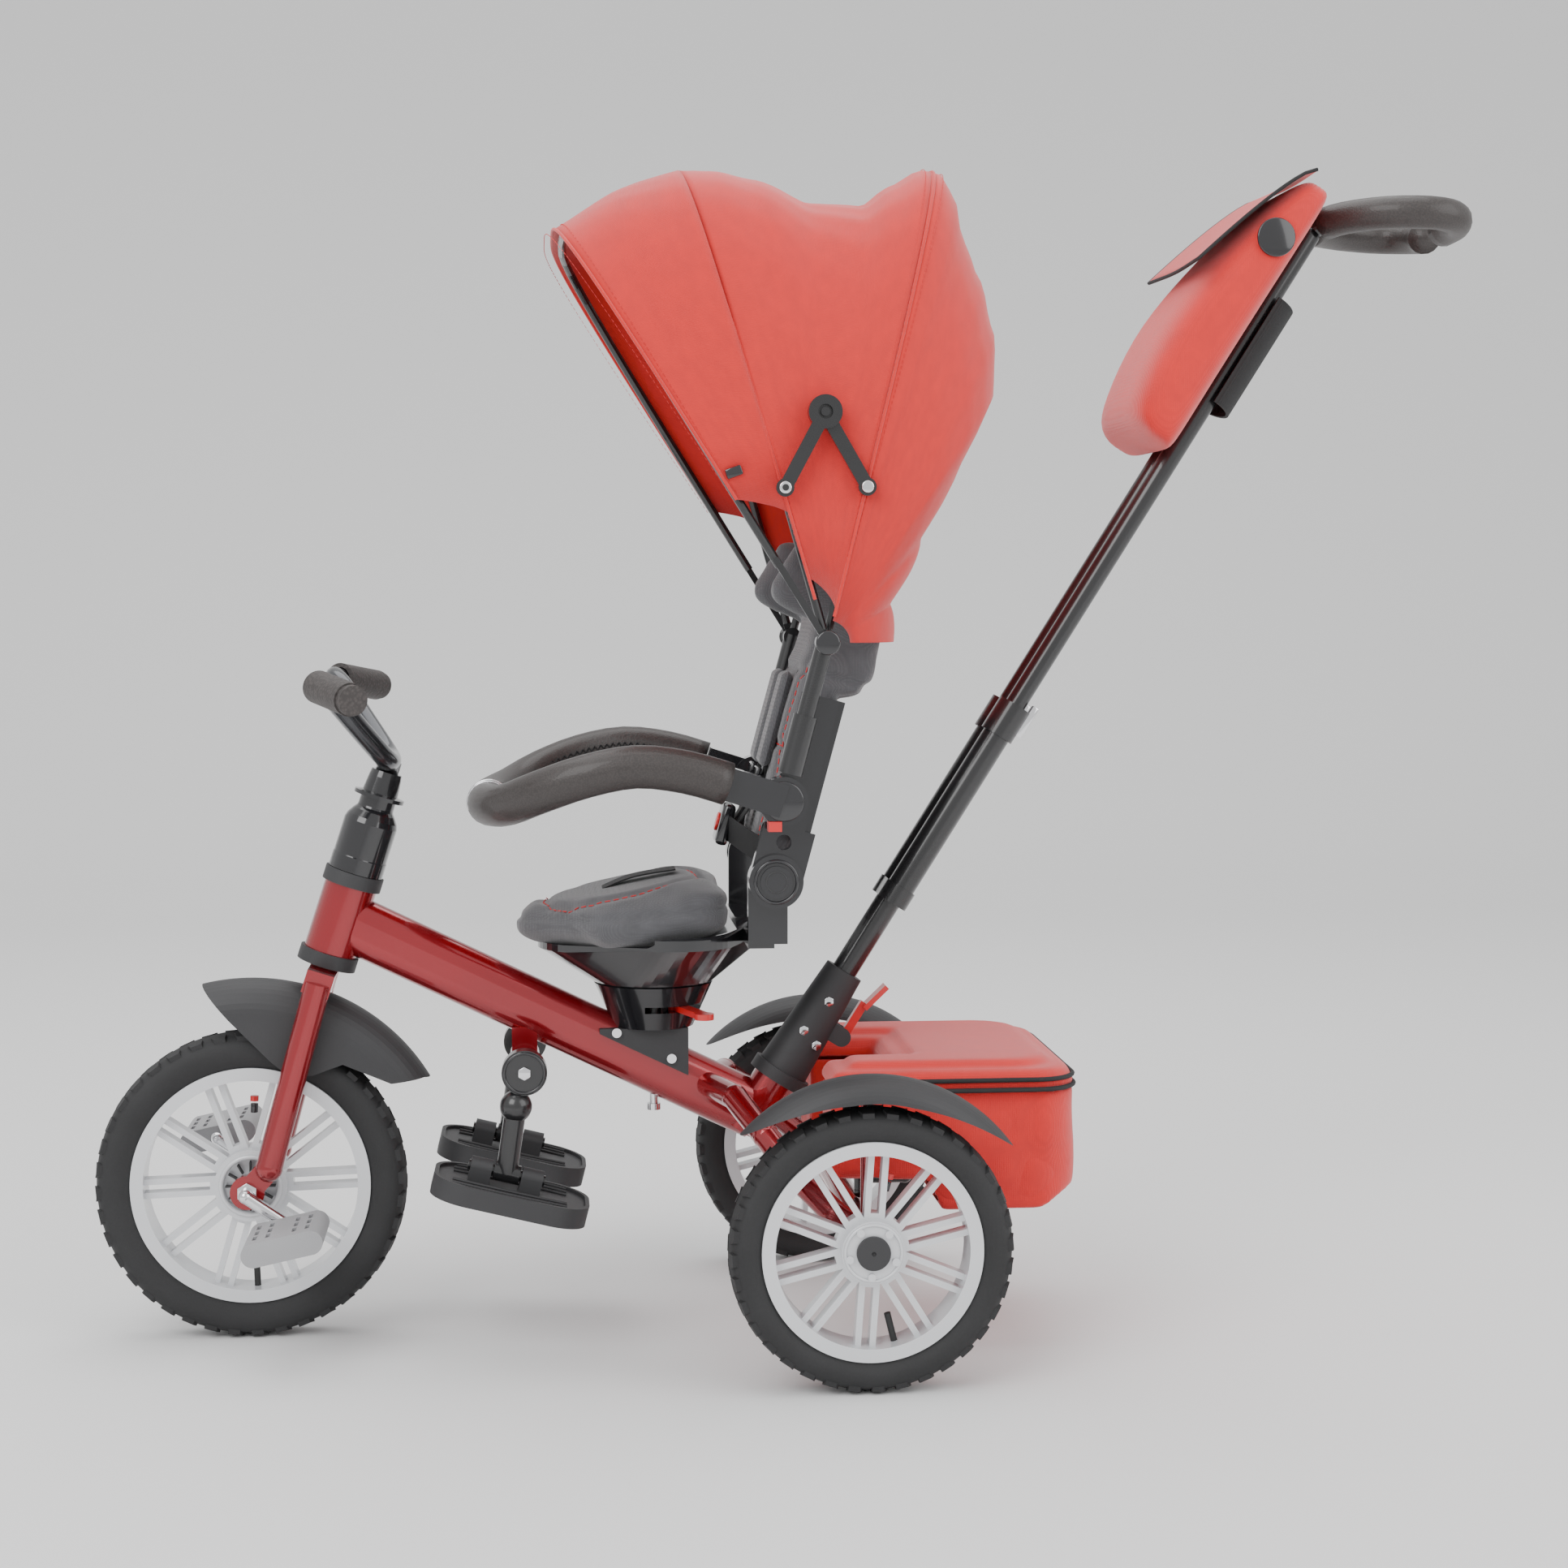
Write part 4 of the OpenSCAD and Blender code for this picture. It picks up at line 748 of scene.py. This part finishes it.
def shrink(piece, amount):
    """Moves every face inwards by amount mm, about the piece's middle."""
    corners = [v.co for v in piece.data.vertices]
    low = Vector([min(c[i] for c in corners) for i in range(3)])
    high = Vector([max(c[i] for c in corners) for i in range(3)])
    middle = (low + high) / 2
    size = high - low
    for vertex in piece.data.vertices:
        for i in range(3):
            vertex.co[i] = middle[i] + (vertex.co[i] - middle[i]) * (1 - 2 * amount / 1000 / size[i])


class TRICYCLE_OT_seat(bpy.types.Operator):
    """Adds the stuffed seat cushion with its stitching"""
    bl_idname = "tricycle.seat"
    bl_label = "Seat cushion"

    def execute(self, context):
        low, high = (Vector(c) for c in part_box("seat_pad"))
        middle = (low + high) / 2
        cushion = cad_copy("seat_pad")
        shrink(cushion, 5)
        inflate(cushion, 0.006, 4.0, 0.008)
        seam_z = low.z * 1000 + 20
        press_seam(cushion, lambda p: p.z - seam_z - 0.09 * (p.x - low.x * 1000), 2.2, 5)
        centre_x = middle.x * 1000 + 6
        reach = (high.x - low.x) * 500 - 34
        wide = (high.y - low.y) * 500 - 34

        def ring_distance(p):
            u = (p.x - centre_x) / reach
            v = p.y / wide
            if p.z < seam_z + 12:
                return 99
            return (math.sqrt(u * u + v * v) - 1) * min(reach, wide)

        press_seam(cushion, ring_distance, 3.2, 9)
        settle(cushion, "seat_cushion", "seat cloth", "seat", 180)
        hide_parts("seat_pad")
        path = []
        cushion.data.update()
        for k in range(97):
            a = 2 * math.pi * k / 96
            x = (centre_x + reach * math.cos(a)) / 1000
            y = wide * math.sin(a) / 1000
            hit, place, normal, _ = cushion.ray_cast(Vector((x, y, high.z + 0.1)), Vector((0, 0, -1)))
            path.append(place + normal * 0.0004 if hit else Vector((x, y, high.z)))
        length = context.scene.tricycle_sizes.stitch
        thread = stitches(path, (0, 0, 1), length, 3.2, 0.7)
        settle(thread, "seat_stitching", "thread red", "seat", 0)
        return {"FINISHED"}


class TRICYCLE_OT_backrest(bpy.types.Operator):
    """Adds the stuffed back pad, sewn into channels and side panels, with its stitching"""
    bl_idname = "tricycle.backrest"
    bl_label = "Backrest pad"

    def execute(self, context):
        pad = cad_copy("back_pad")
        for vertex in pad.data.vertices:
            vertex.co.y *= 0.95
        inflate(pad, 0.006, 4.0, 0.007)
        hinge = JOINT["backrest_recline"] * 1000
        sine = math.sin(BACK_LEAN)
        cosine = math.cos(BACK_LEAN)

        def height(p):
            return (p.x - hinge.x) * sine + (p.z - hinge.z) * cosine

        def channel(p):
            return min((abs(height(p) - level) for level in (62, 118, 190)), default=99)

        press_seam(pad, lambda p: channel(p), 2.6, 8)
        press_seam(pad, lambda p: abs(p.y) - 74, 1.8, 6)
        settle(pad, "back_cushion", "seat cloth", "backrest", 180)
        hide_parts("back_pad")
        length = context.scene.tricycle_sizes.stitch
        forward = Matrix.Rotation(BACK_LEAN, 3, "Y") @ Vector((-1, 0, 0))
        rows = []
        for y in (-74, 74):
            rows.append([on_back(-140, y, z) for z in range(8, 196, 6)])
        for level in (62, 118):
            rows.append([on_back(-140, y, level) for y in range(-72, 73, 6)])
        threads = []
        for row in rows:
            path = []
            for start in row:
                hit, place, normal, _ = pad.ray_cast(start, -forward)
                if hit:
                    path.append(place + normal * 0.0004)
            if len(path) > 1:
                threads.append(stitches(path, forward, length, 3.2, 0.7))
        settle(join(threads), "back_stitching", "thread red", "backrest", 0)
        return {"FINISHED"}


class TRICYCLE_OT_harness(bpy.types.Operator):
    """Adds the five-point harness with its shoulder pads, sliders, buckle and crotch strap"""
    bl_idname = "tricycle.harness"
    bl_label = "Harness"

    def execute(self, context):
        width = context.scene.tricycle_sizes.webbing
        for side in SIDES:
            label = "left" if side < 0 else "right"
            points = smooth_path([on_back(-17, side * 38, 196), on_back(-24, side * 36, 170),
                                  on_back(-25, side * 34, 120), on_back(-26, side * 30, 70),
                                  on_back(-36, side * 22, 34)])
            belt = strap(points, width, (0, 1, 0))
            settle(belt, f"shoulder_strap_{label}", "webbing", "backrest", 50)
            pad = block(on_back(-29, side * 35, 140), (11, 46, 92), (0, 15, 0), 5)
            rounded(pad, 0.004, 3)
            subdivide(pad, 2)
            settle(pad, f"shoulder_pad_{label}", "seat cloth", "backrest", 180)
            route = smooth_path([on_back(-14, side * 92, 20), on_back(-24, side * 70, 22),
                                 on_back(-38, side * 34, 26), on_back(-44, side * 14, 28)])
            lap = strap(route, width, (0, 0, 1))
            settle(lap, f"lap_strap_{label}", "webbing", "backrest", 50)
            slide = block(on_back(-31, side * 31, 84), (5, 34, 16), (0, 15, 0), 1.5)
            settle(slide, f"strap_slider_{label}", "gloss black", "backrest", 40)
        buckle = block(on_back(-46, 0, 30), (12, 46, 40), (0, 15, 0), 4)
        settle(buckle, "harness_buckle", "gloss black", "backrest", 50)
        press = disc(on_back(-53, 0, 30), 9, 3, on_back(-1, 0, 0) - on_back(0, 0, 0), 32, 1)
        settle(press, "buckle_button", "red plastic", "backrest", 50)
        low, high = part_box("seat_pad")
        top = high[2] + 0.001
        route = smooth_path([Vector((low[0] + 0.075, 0, top - 0.022)),
                             Vector((low[0] + 0.12, 0, top - 0.002)),
                             Vector((low[0] + 0.165, 0, top + 0.006))])
        crotch = strap(route, width + 4, (0, 1, 0))
        settle(crotch, "crotch_strap", "webbing", "seat", 50)
        return {"FINISHED"}


# ---- Canopy ----
CLOTH_COLUMNS = 84
CANOPY_REACH = 444.0
CANOPY_HALF = 175.0
BOWS = {"visor": -47.0, "front": -31.0, "rear": -1.0}


def hoop_point(t, half, reach, low):
    """A point on the hoop at t from -1 to 1: sideways distance and height above the pivots."""
    a = math.radians(90 + 90 * math.copysign(abs(t) ** 1.7, t))
    side = -math.copysign(half * abs(math.cos(a)) ** 0.45, t)
    return -side, low + (reach - low) * max(math.sin(a), 0.0) ** 0.62


def reach_between(profile, angle):
    """Reach of the cloth's middle at an angle, smoothly through the profile."""
    for (a0, r0), (a1, r1) in zip(profile, profile[1:]):
        if angle <= a1:
            t = (angle - a0) / (a1 - a0)
            t = min(max(t, 0.0), 1.0)
            return r0 + (r1 - r0) * t * t * (3 - 2 * t) * 0.5 + (r1 - r0) * t * 0.5
    return profile[-1][1]


def cloth_rows(profile, low, steps, folds=0.0, columns=CLOTH_COLUMNS):
    start = profile[0][0]
    end = profile[-1][0]
    rows = []
    for i in range(steps + 1):
        f = i / steps
        angle = start + (end - start) * f
        reach = reach_between(profile, angle)
        foot = low[0] + (low[1] - low[0]) * f
        row = []
        for k in range(columns + 1):
            t = -1 + 2 * k / columns
            y, z = hoop_point(t, CANOPY_HALF, reach, foot)
            pull = math.sin(math.pi * f)
            fold = folds * pull * (math.sin(9.0 * t * math.pi + 5 * f) * 0.5 + math.sin(23 * t + 2.3) * 0.3)
            drape = fold * min(1.0, z / 160)
            shift = 1.4 * folds * pull * math.sin(6 * t * math.pi + 1.1) * 0.01
            inwards = math.copysign(drape * 0.4, y) * min(abs(y) / 80, 1)
            row.append(on_canopy(angle + shift, y - inwards, z - abs(drape) * 0.8))
        rows.append(row)
    return rows


class TRICYCLE_OT_canopy(bpy.types.Operator):
    """Adds the cloth hood over the three bows with its seams and piping"""
    bl_idname = "tricycle.canopy"
    bl_label = "Canopy"

    def execute(self, context):
        piping = context.scene.tricycle_sizes.piping
        reach = CANOPY_REACH + 1
        visor, front, rear = BOWS["visor"], BOWS["front"], BOWS["rear"]
        visor_shape = [(visor - 0.7, reach), (visor + 0.9, reach), (visor + 8, reach + 5),
                       (front - 0.5, reach + 3)]
        middle_shape = [(front - 0.5, reach + 3), (front + 0.9, reach), (front + 3, reach - 4),
                        (front + 8, reach - 18),
                        (front + 15, reach - 43), (rear - 8, reach - 43), (rear - 4.5, reach - 20),
                        (rear - 1.4, reach - 1), (rear - 0.4, reach)]
        rear_shape = [(rear - 0.4, reach), (rear + 0.9, reach), (rear + 3, reach - 14),
                      (rear + 6, reach - 50),
                      (rear + 10, reach - 76), (rear + 15, reach - 110), (rear + 21, reach - 156),
                      (rear + 25, reach - 238), (rear + 30, reach - 308), (rear + 47, reach - 370),
                      (rear + 76, reach - 376)]
        parts = (
            ("visor_cloth", visor_shape, (150, 120), 14, 1.2, "visor", ["visor_cover"]),
            ("hood_cloth", middle_shape, (60, 30), 34, 2.5, "canopy_front", ["canopy_middle"]),
            ("back_cloth", rear_shape, (20, 20), 56, 2.5, "backrest", ["canopy_rear"]))
        for name, shape, low, steps, folds, body, nodes in parts:
            rows = cloth_rows(shape, low, steps, folds)
            cloth = surface(name, rows)
            solidify(cloth, 0.0012, 0)
            settle(cloth, name, "coral cloth", None, 180)
            if name == "hood_cloth":
                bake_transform(cloth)
            elif name == "visor_cloth":
                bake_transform(cloth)
            else:
                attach(cloth, body)
            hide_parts(*nodes)
        for name, angle, low, body in (("visor_piping", visor - 0.7, 150, "visor"),
                                       ("front_seam_piping", front - 0.5, 40, "canopy_front"),
                                       ("rear_seam_piping", rear, 24, "backrest")):
            path = []
            for k in range(CLOTH_COLUMNS + 1):
                y, z = hoop_point(-1 + 2 * k / CLOTH_COLUMNS, CANOPY_HALF + 0.6, reach + 0.8, low)
                path.append(on_canopy(angle, y, z))
            settle(strand(path, piping * 0.7, False, 2), name, "coral padding", body, 60)
            threads = []
            for shift in (-1.1, 1.1):
                line = []
                for k in range(CLOTH_COLUMNS + 1):
                    y, z = hoop_point(-1 + 2 * k / CLOTH_COLUMNS, CANOPY_HALF + 0.7, reach + 0.9, low)
                    line.append(on_canopy(angle + shift, y, z))
                threads.append(stitches(line, (0, 0, 1), 3.2, 2.2, 0.4))
            settle(join(threads), name.replace("piping", "stitching"), "thread red", body, 0)
        for side in SIDES:
            label = "left" if side < 0 else "right"
            clip = block(on_canopy(-44, side * 177, 172), (15, 4, 9), (0, -20, 0), 1.5)
            settle(clip, f"visor_clip_{label}", "gloss black", "visor", 40)
            for joint, body, side_y in (("front_stretcher_fold", "canopy_front", 191.5),
                                        ("rear_stretcher_fold", "backrest", 185.8)):
                centre = JOINT[joint] + Vector((0, side * side_y / 1000, 0))
                rivet = disc(centre, 5.5, 2.4, (0, side, 0), 24, 0.9)
                settle(rivet, f"{joint}_rivet_{label}", "chrome", body, 50)
            boss = disc(JOINT["canopy_fold"] + Vector((0, side * 0.1775, 0)), 11, 5, (0, side, 0), 40, 1.6)
            settle(boss, f"canopy_pivot_cap_{label}", "gloss black", "backrest", 50)
        return {"FINISHED"}


# ---- Bags ----
def loft(name, sections):
    """A closed soft shell through closed outlines, with its two ends filled."""
    piece = surface(name, sections, closed=True)
    count = len(sections[0])
    mesh = bmesh.new()
    mesh.from_mesh(piece.data)
    mesh.verts.ensure_lookup_table()
    mesh.faces.new([mesh.verts[k] for k in reversed(range(count))])
    mesh.faces.new([mesh.verts[len(mesh.verts) - count + k] for k in range(count)])
    bmesh.ops.recalc_face_normals(mesh, faces=mesh.faces)
    mesh.to_mesh(piece.data)
    mesh.free()
    return piece


class TRICYCLE_OT_basket(bpy.types.Operator):
    """Adds the rear bag and its lid with double piping"""
    bl_idname = "tricycle.basket"
    bl_label = "Rear bag"

    def execute(self, context):
        piping = context.scene.tricycle_sizes.piping
        bag = cad_copy("basket_bag")
        for vertex in bag.data.vertices:
            vertex.co.y *= 0.97
        focus(bag)
        finer = bag.modifiers.new("voxel", "REMESH")
        finer.mode = "VOXEL"
        finer.voxel_size = 0.0035
        soften = bag.modifiers.new("soften", "SMOOTH")
        soften.iterations = 9
        apply_modifiers(bag)
        low, high = (Vector(c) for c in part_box("basket_bag"))
        for vertex in bag.data.vertices:
            p = vertex.co
            rise = (p.z - low.z) / (high.z - low.z)
            sag = math.sin(math.pi * min(max(rise, 0), 1))
            ripple = math.sin(p.x * 70) * math.sin(p.z * 60 + 1) + 0.6 * math.sin(p.y * 55 + p.z * 40)
            vertex.co += vertex.normal * (0.0022 * sag * ripple)
            vertex.co.z -= 0.004 * sag * math.cos(p.y * 9) * (1 if rise < 0.5 else 0)
        settle(bag, "rear_bag", "coral padding", "frame", 180)
        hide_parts("basket_bag")
        lid = cad_copy("basket_lid")
        for vertex in lid.data.vertices:
            vertex.co.y *= 0.985
        focus(lid)
        finer = lid.modifiers.new("voxel", "REMESH")
        finer.mode = "VOXEL"
        finer.voxel_size = 0.0035
        soften = lid.modifiers.new("soften", "SMOOTH")
        soften.iterations = 12
        apply_modifiers(lid)
        settle(lid, "rear_bag_lid", "coral padding", "basket_flap", 180)
        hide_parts("basket_lid")
        low, high = (Vector(c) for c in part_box("basket_lid"))
        for index, (inset, z) in enumerate(((0.000, low.z + 0.0015), (0.001, low.z + 0.0105))):
            path = []
            corner = 0.040
            x1 = high.x - inset
            half = high.y - inset
            path += [Vector((low.x + 0.004, -half, z)), Vector((x1 - corner, -half, z))]
            for k in range(1, 10):
                a = math.radians(10 * k - 90)
                path.append(Vector((x1 - corner + corner * math.cos(a),
                                    -half + corner + corner * math.sin(a), z)))
            for k in range(0, 10):
                a = math.radians(10 * k)
                path.append(Vector((x1 - corner + corner * math.cos(a),
                                    half - corner + corner * math.sin(a), z)))
            path.append(Vector((low.x + 0.004, half, z)))
            cord = strand(path, piping, False, 3)
            settle(cord, f"lid_piping_{index + 1}", "webbing", "basket_flap", 60)
        return {"FINISHED"}


class TRICYCLE_OT_pouch(bpy.types.Operator):
    """Adds the parent's pouch with its flap, flap piping, strap plates and wrap"""
    bl_idname = "tricycle.pouch"
    bl_label = "Pouch"

    def execute(self, context):
        piping = context.scene.tricycle_sizes.piping
        outline = [(736, -16, -32, 88), (742, -11, -62, 97), (770, -11, -72, 101), (836, -11, -82, 102),
                   (900, -11, -74, 102), (960, -11, -61, 101), (1005, -11, -47, 98), (1022, -14, -38, 90)]
        sections = []
        for s, near, far, half in outline:
            row = []
            for k in range(40):
                a = 2 * math.pi * k / 40
                u = math.copysign(abs(math.cos(a)) ** 0.55, math.cos(a))
                v = math.copysign(abs(math.sin(a)) ** 0.45, math.sin(a))
                row.append(on_pole((near + far) / 2 + u * (near - far) / 2, v * half, s))
            sections.append(row)
        bag = loft("pouch_bag", sections)
        subdivide(bag, 2)
        settle(bag, "pouch_bag", "coral padding", "pole_upper", 180)
        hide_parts("pouch")
        rows = []
        for i in range(15):
            s = 1024 - i * 9.2
            depth = -36 - 50 * (i / 14) ** 0.7
            rows.append([on_pole(depth - 3.2 + 1.5 * math.cos(v * 2.4), v * 99, s) for v in
                         [x / 12 for x in range(-12, 13)]])
        flap = surface("pouch_flap", rows)
        solidify(flap, 0.0025, 0)
        settle(flap, "pouch_flap", "coral cloth", "pole_upper", 180)
        edge = [rows[0][0]] + [row[0] for row in rows] + rows[-1][1:] + [row[-1] for row in reversed(rows)]
        cord = strand(edge, piping * 0.8, False, 3)
        settle(cord, "flap_piping", "webbing", "pole_upper", 60)
        for side in SIDES:
            label = "left" if side < 0 else "right"
            plate = disc(on_pole(-40, side * 103, 950), 18, 3, (0, side, 0), 40, 1.2)
            settle(plate, f"strap_plate_{label}", "gloss black", "pole_upper", 50)
        wrap = []
        for k in range(33):
            a = math.pi * (k / 32) - math.pi / 2
            wrap.append((4 + 24 * math.cos(a), 36 * math.sin(a)))
        rows = [[on_pole(x, y, s) for x, y in wrap] for s in (806, 845, 884, 922)]
        band = surface("pouch_wrap", rows)
        solidify(band, 0.003, 0)
        settle(band, "pouch_wrap", "webbing", "pole_upper", 60)
        return {"FINISHED"}


# ---- Bars and grips ----
class TRICYCLE_OT_bars(bpy.types.Operator):
    """Refines the padded bar, handle and grips, and adds lacing, bands and end caps"""
    bl_idname = "tricycle.bars"
    bl_label = "Bars and grips"

    def execute(self, context):
        refined("guard_bar", "safety_bar_padding", "leatherette", "guard", 60)
        refined("handle_grips", "push_handle_padding", "leatherette", "pole_upper", 60)
        refined("handlebar", "handlebar_tube", "gunmetal", "steering", 50)
        low, _ = (Vector(c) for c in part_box("guard_bar"))
        front = Vector((low.x + 0.0195, 0, low.z + 0.0195))
        bands = [ring(front + Vector((0.0002, y, 0)), 19.6, 1.1, (0.05, 1, 0)) for y in (-0.011, 0.011)]
        settle(join(bands), "safety_bar_trim", "chrome", "guard", 60)
        for side in SIDES:
            label = "left" if side < 0 else "right"
            lace = []
            run = [Vector(p) for p in self.bar_line(side)]
            for k, (a, b) in enumerate(zip(run, run[1:])):
                lift = Vector((0, 0, 0.0045 * (1 if k % 2 else -1)))
                lace.append(strand([a + lift, b - lift], 0.7, False, 1))
                lace.append(strand([a - lift, b + lift], 0.7, False, 1))
            settle(join(lace), f"safety_bar_lacing_{label}", "webbing", "guard", 60)
            centre = JOINT["guard_lift"] + Vector((0, side * 0.166, 0))
            cap = disc(centre, 18, 4, (0, side, 0), 48, 1.4)
            settle(cap, f"guard_pivot_cap_{label}", "gloss black", "guard", 50)
        return {"FINISHED"}

    @staticmethod
    def bar_line(side):
        """Points along the inner side of the padded bar."""
        pivot = JOINT["guard_lift"]
        spots = [(-262, 20, -11), (-258, 60, -9), (-243, 112, -4), (-214, 149, 10), (-174, 165, 25),
                 (-132, 166, 32), (-92, 165, 27)]
        line = smooth_path([mm(pivot.x * 1000 + x, side * (y - 19.7), pivot.z * 1000 + z) if x > -230 else
                            mm(pivot.x * 1000 + x + 19.7, side * (y - 6), pivot.z * 1000 + z)
                            for x, y, z in spots], 7)
        return line


class TRICYCLE_OT_trim(bpy.types.Operator):
    """Adds screws, caps, latches and footboard ribs"""
    bl_idname = "tricycle.trim"
    bl_label = "Trim"

    def execute(self, context):
        for side in SIDES:
            label = "left" if side < 0 else "right"
            body = f"{label}_board"
            fold = JOINT[f"{label}_board_fold"]
            low, high = (Vector(c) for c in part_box(f"foot_board_{label}"))
            centre = (low + high) / 2
            ribs = []
            for offset in (-42, -30, -18, 18, 30, 42):
                path = []
                for k in range(13):
                    u = -1 + k / 6
                    x = centre.x + u * 0.052
                    y = centre.y + offset / 1000 * (1 + 0.12 * (1 - u * u))
                    z = fold.z - 0.0125 - (x - fold.x) * math.tan(math.radians(14))
                    path.append(Vector((x, y, z)))
                ribs.append(strand(path, 1.5, False, 2))
            settle(join(ribs), f"footboard_ribs_{label}", "matte black", body, 60)
            rest = JOINT["footrest_fold"]
            screw = disc(rest + Vector((0, side * 0.0955, 0)), 6.5, 3, (0, side, 0), 6, 0.8)
            settle(screw, f"footrest_screw_{label}", "chrome", "footrest", 30)
            lip = ring(rest + Vector((0, side * 0.0942, 0)), 18.5, 1.5)
            settle(lip, f"footrest_disc_lip_{label}", "gloss black", "footrest", 60)
            button = JOINT["backrest_recline"] + Vector((0, side * 0.1515, 0))
            rim = ring(button - Vector((0, side * 0.0015, 0)), 19, 1.6)
            settle(rim, f"button_rim_{label}", "gloss black", "backrest", 60)
            dot = ring(button + Vector((0, side * 0.0005, 0)), 9.5, 0.7)
            settle(dot, f"button_mark_{label}", "matte black", f"{label}_button", 60)
        for name, s, x in (("socket_bolt_upper", 128, 0), ("socket_bolt_lower", 92, -6),
                           ("socket_bolt_rear", 86, 12)):
            bolts = [disc(on_pole(x, side * (24.4 - 0.042 * s), s), 5, 4, (0, side, 0), 6, 0.6)
                     for side in SIDES]
            settle(join(bolts), name, "chrome", "pole", 30)
        for side in SIDES:
            label = "left" if side < 0 else "right"
            latch = block(on_pole(18, side * 20, 455), (7, 12, 34), (0, 32.2, 0), 2)
            settle(latch, f"collar_latch_{label}", "chrome", "pole", 40)
        return {"FINISHED"}


class TRICYCLE_PT_panel(bpy.types.Panel):
    """Lists the tricycle's makers and their values"""
    bl_label = "Tricycle"
    bl_idname = "TRICYCLE_PT_panel"
    bl_space_type = "VIEW_3D"
    bl_region_type = "UI"
    bl_category = "Tricycle"

    def draw(self, context):
        for group in (context.scene.tricycle_colours, context.scene.tricycle_sizes):
            for value in group.bl_rna.properties:
                if value.identifier not in ("rna_type", "name"):
                    self.layout.prop(group, value.identifier)
        for maker in MAKERS:
            self.layout.operator(maker.bl_idname)


MAKERS = (TRICYCLE_OT_finishes, TRICYCLE_OT_stage, TRICYCLE_OT_tyres, TRICYCLE_OT_hubs, TRICYCLE_OT_seat,
          TRICYCLE_OT_backrest, TRICYCLE_OT_harness, TRICYCLE_OT_canopy, TRICYCLE_OT_basket,
          TRICYCLE_OT_pouch, TRICYCLE_OT_bars, TRICYCLE_OT_trim)
CLASSES = (TricycleColours, TricycleSizes) + MAKERS + (TRICYCLE_PT_panel,)


def register():
    for entry in CLASSES:
        bpy.utils.register_class(entry)
    bpy.types.Scene.tricycle_colours = bpy.props.PointerProperty(type=TricycleColours)
    bpy.types.Scene.tricycle_sizes = bpy.props.PointerProperty(type=TricycleSizes)


def unregister():
    del bpy.types.Scene.tricycle_sizes
    del bpy.types.Scene.tricycle_colours
    for entry in reversed(CLASSES):
        bpy.utils.unregister_class(entry)


def main():
    register()
    for maker in MAKERS:
        section, action = maker.bl_idname.split(".")
        getattr(getattr(bpy.ops, section), action)()


if __name__ == "__main__":
    main()
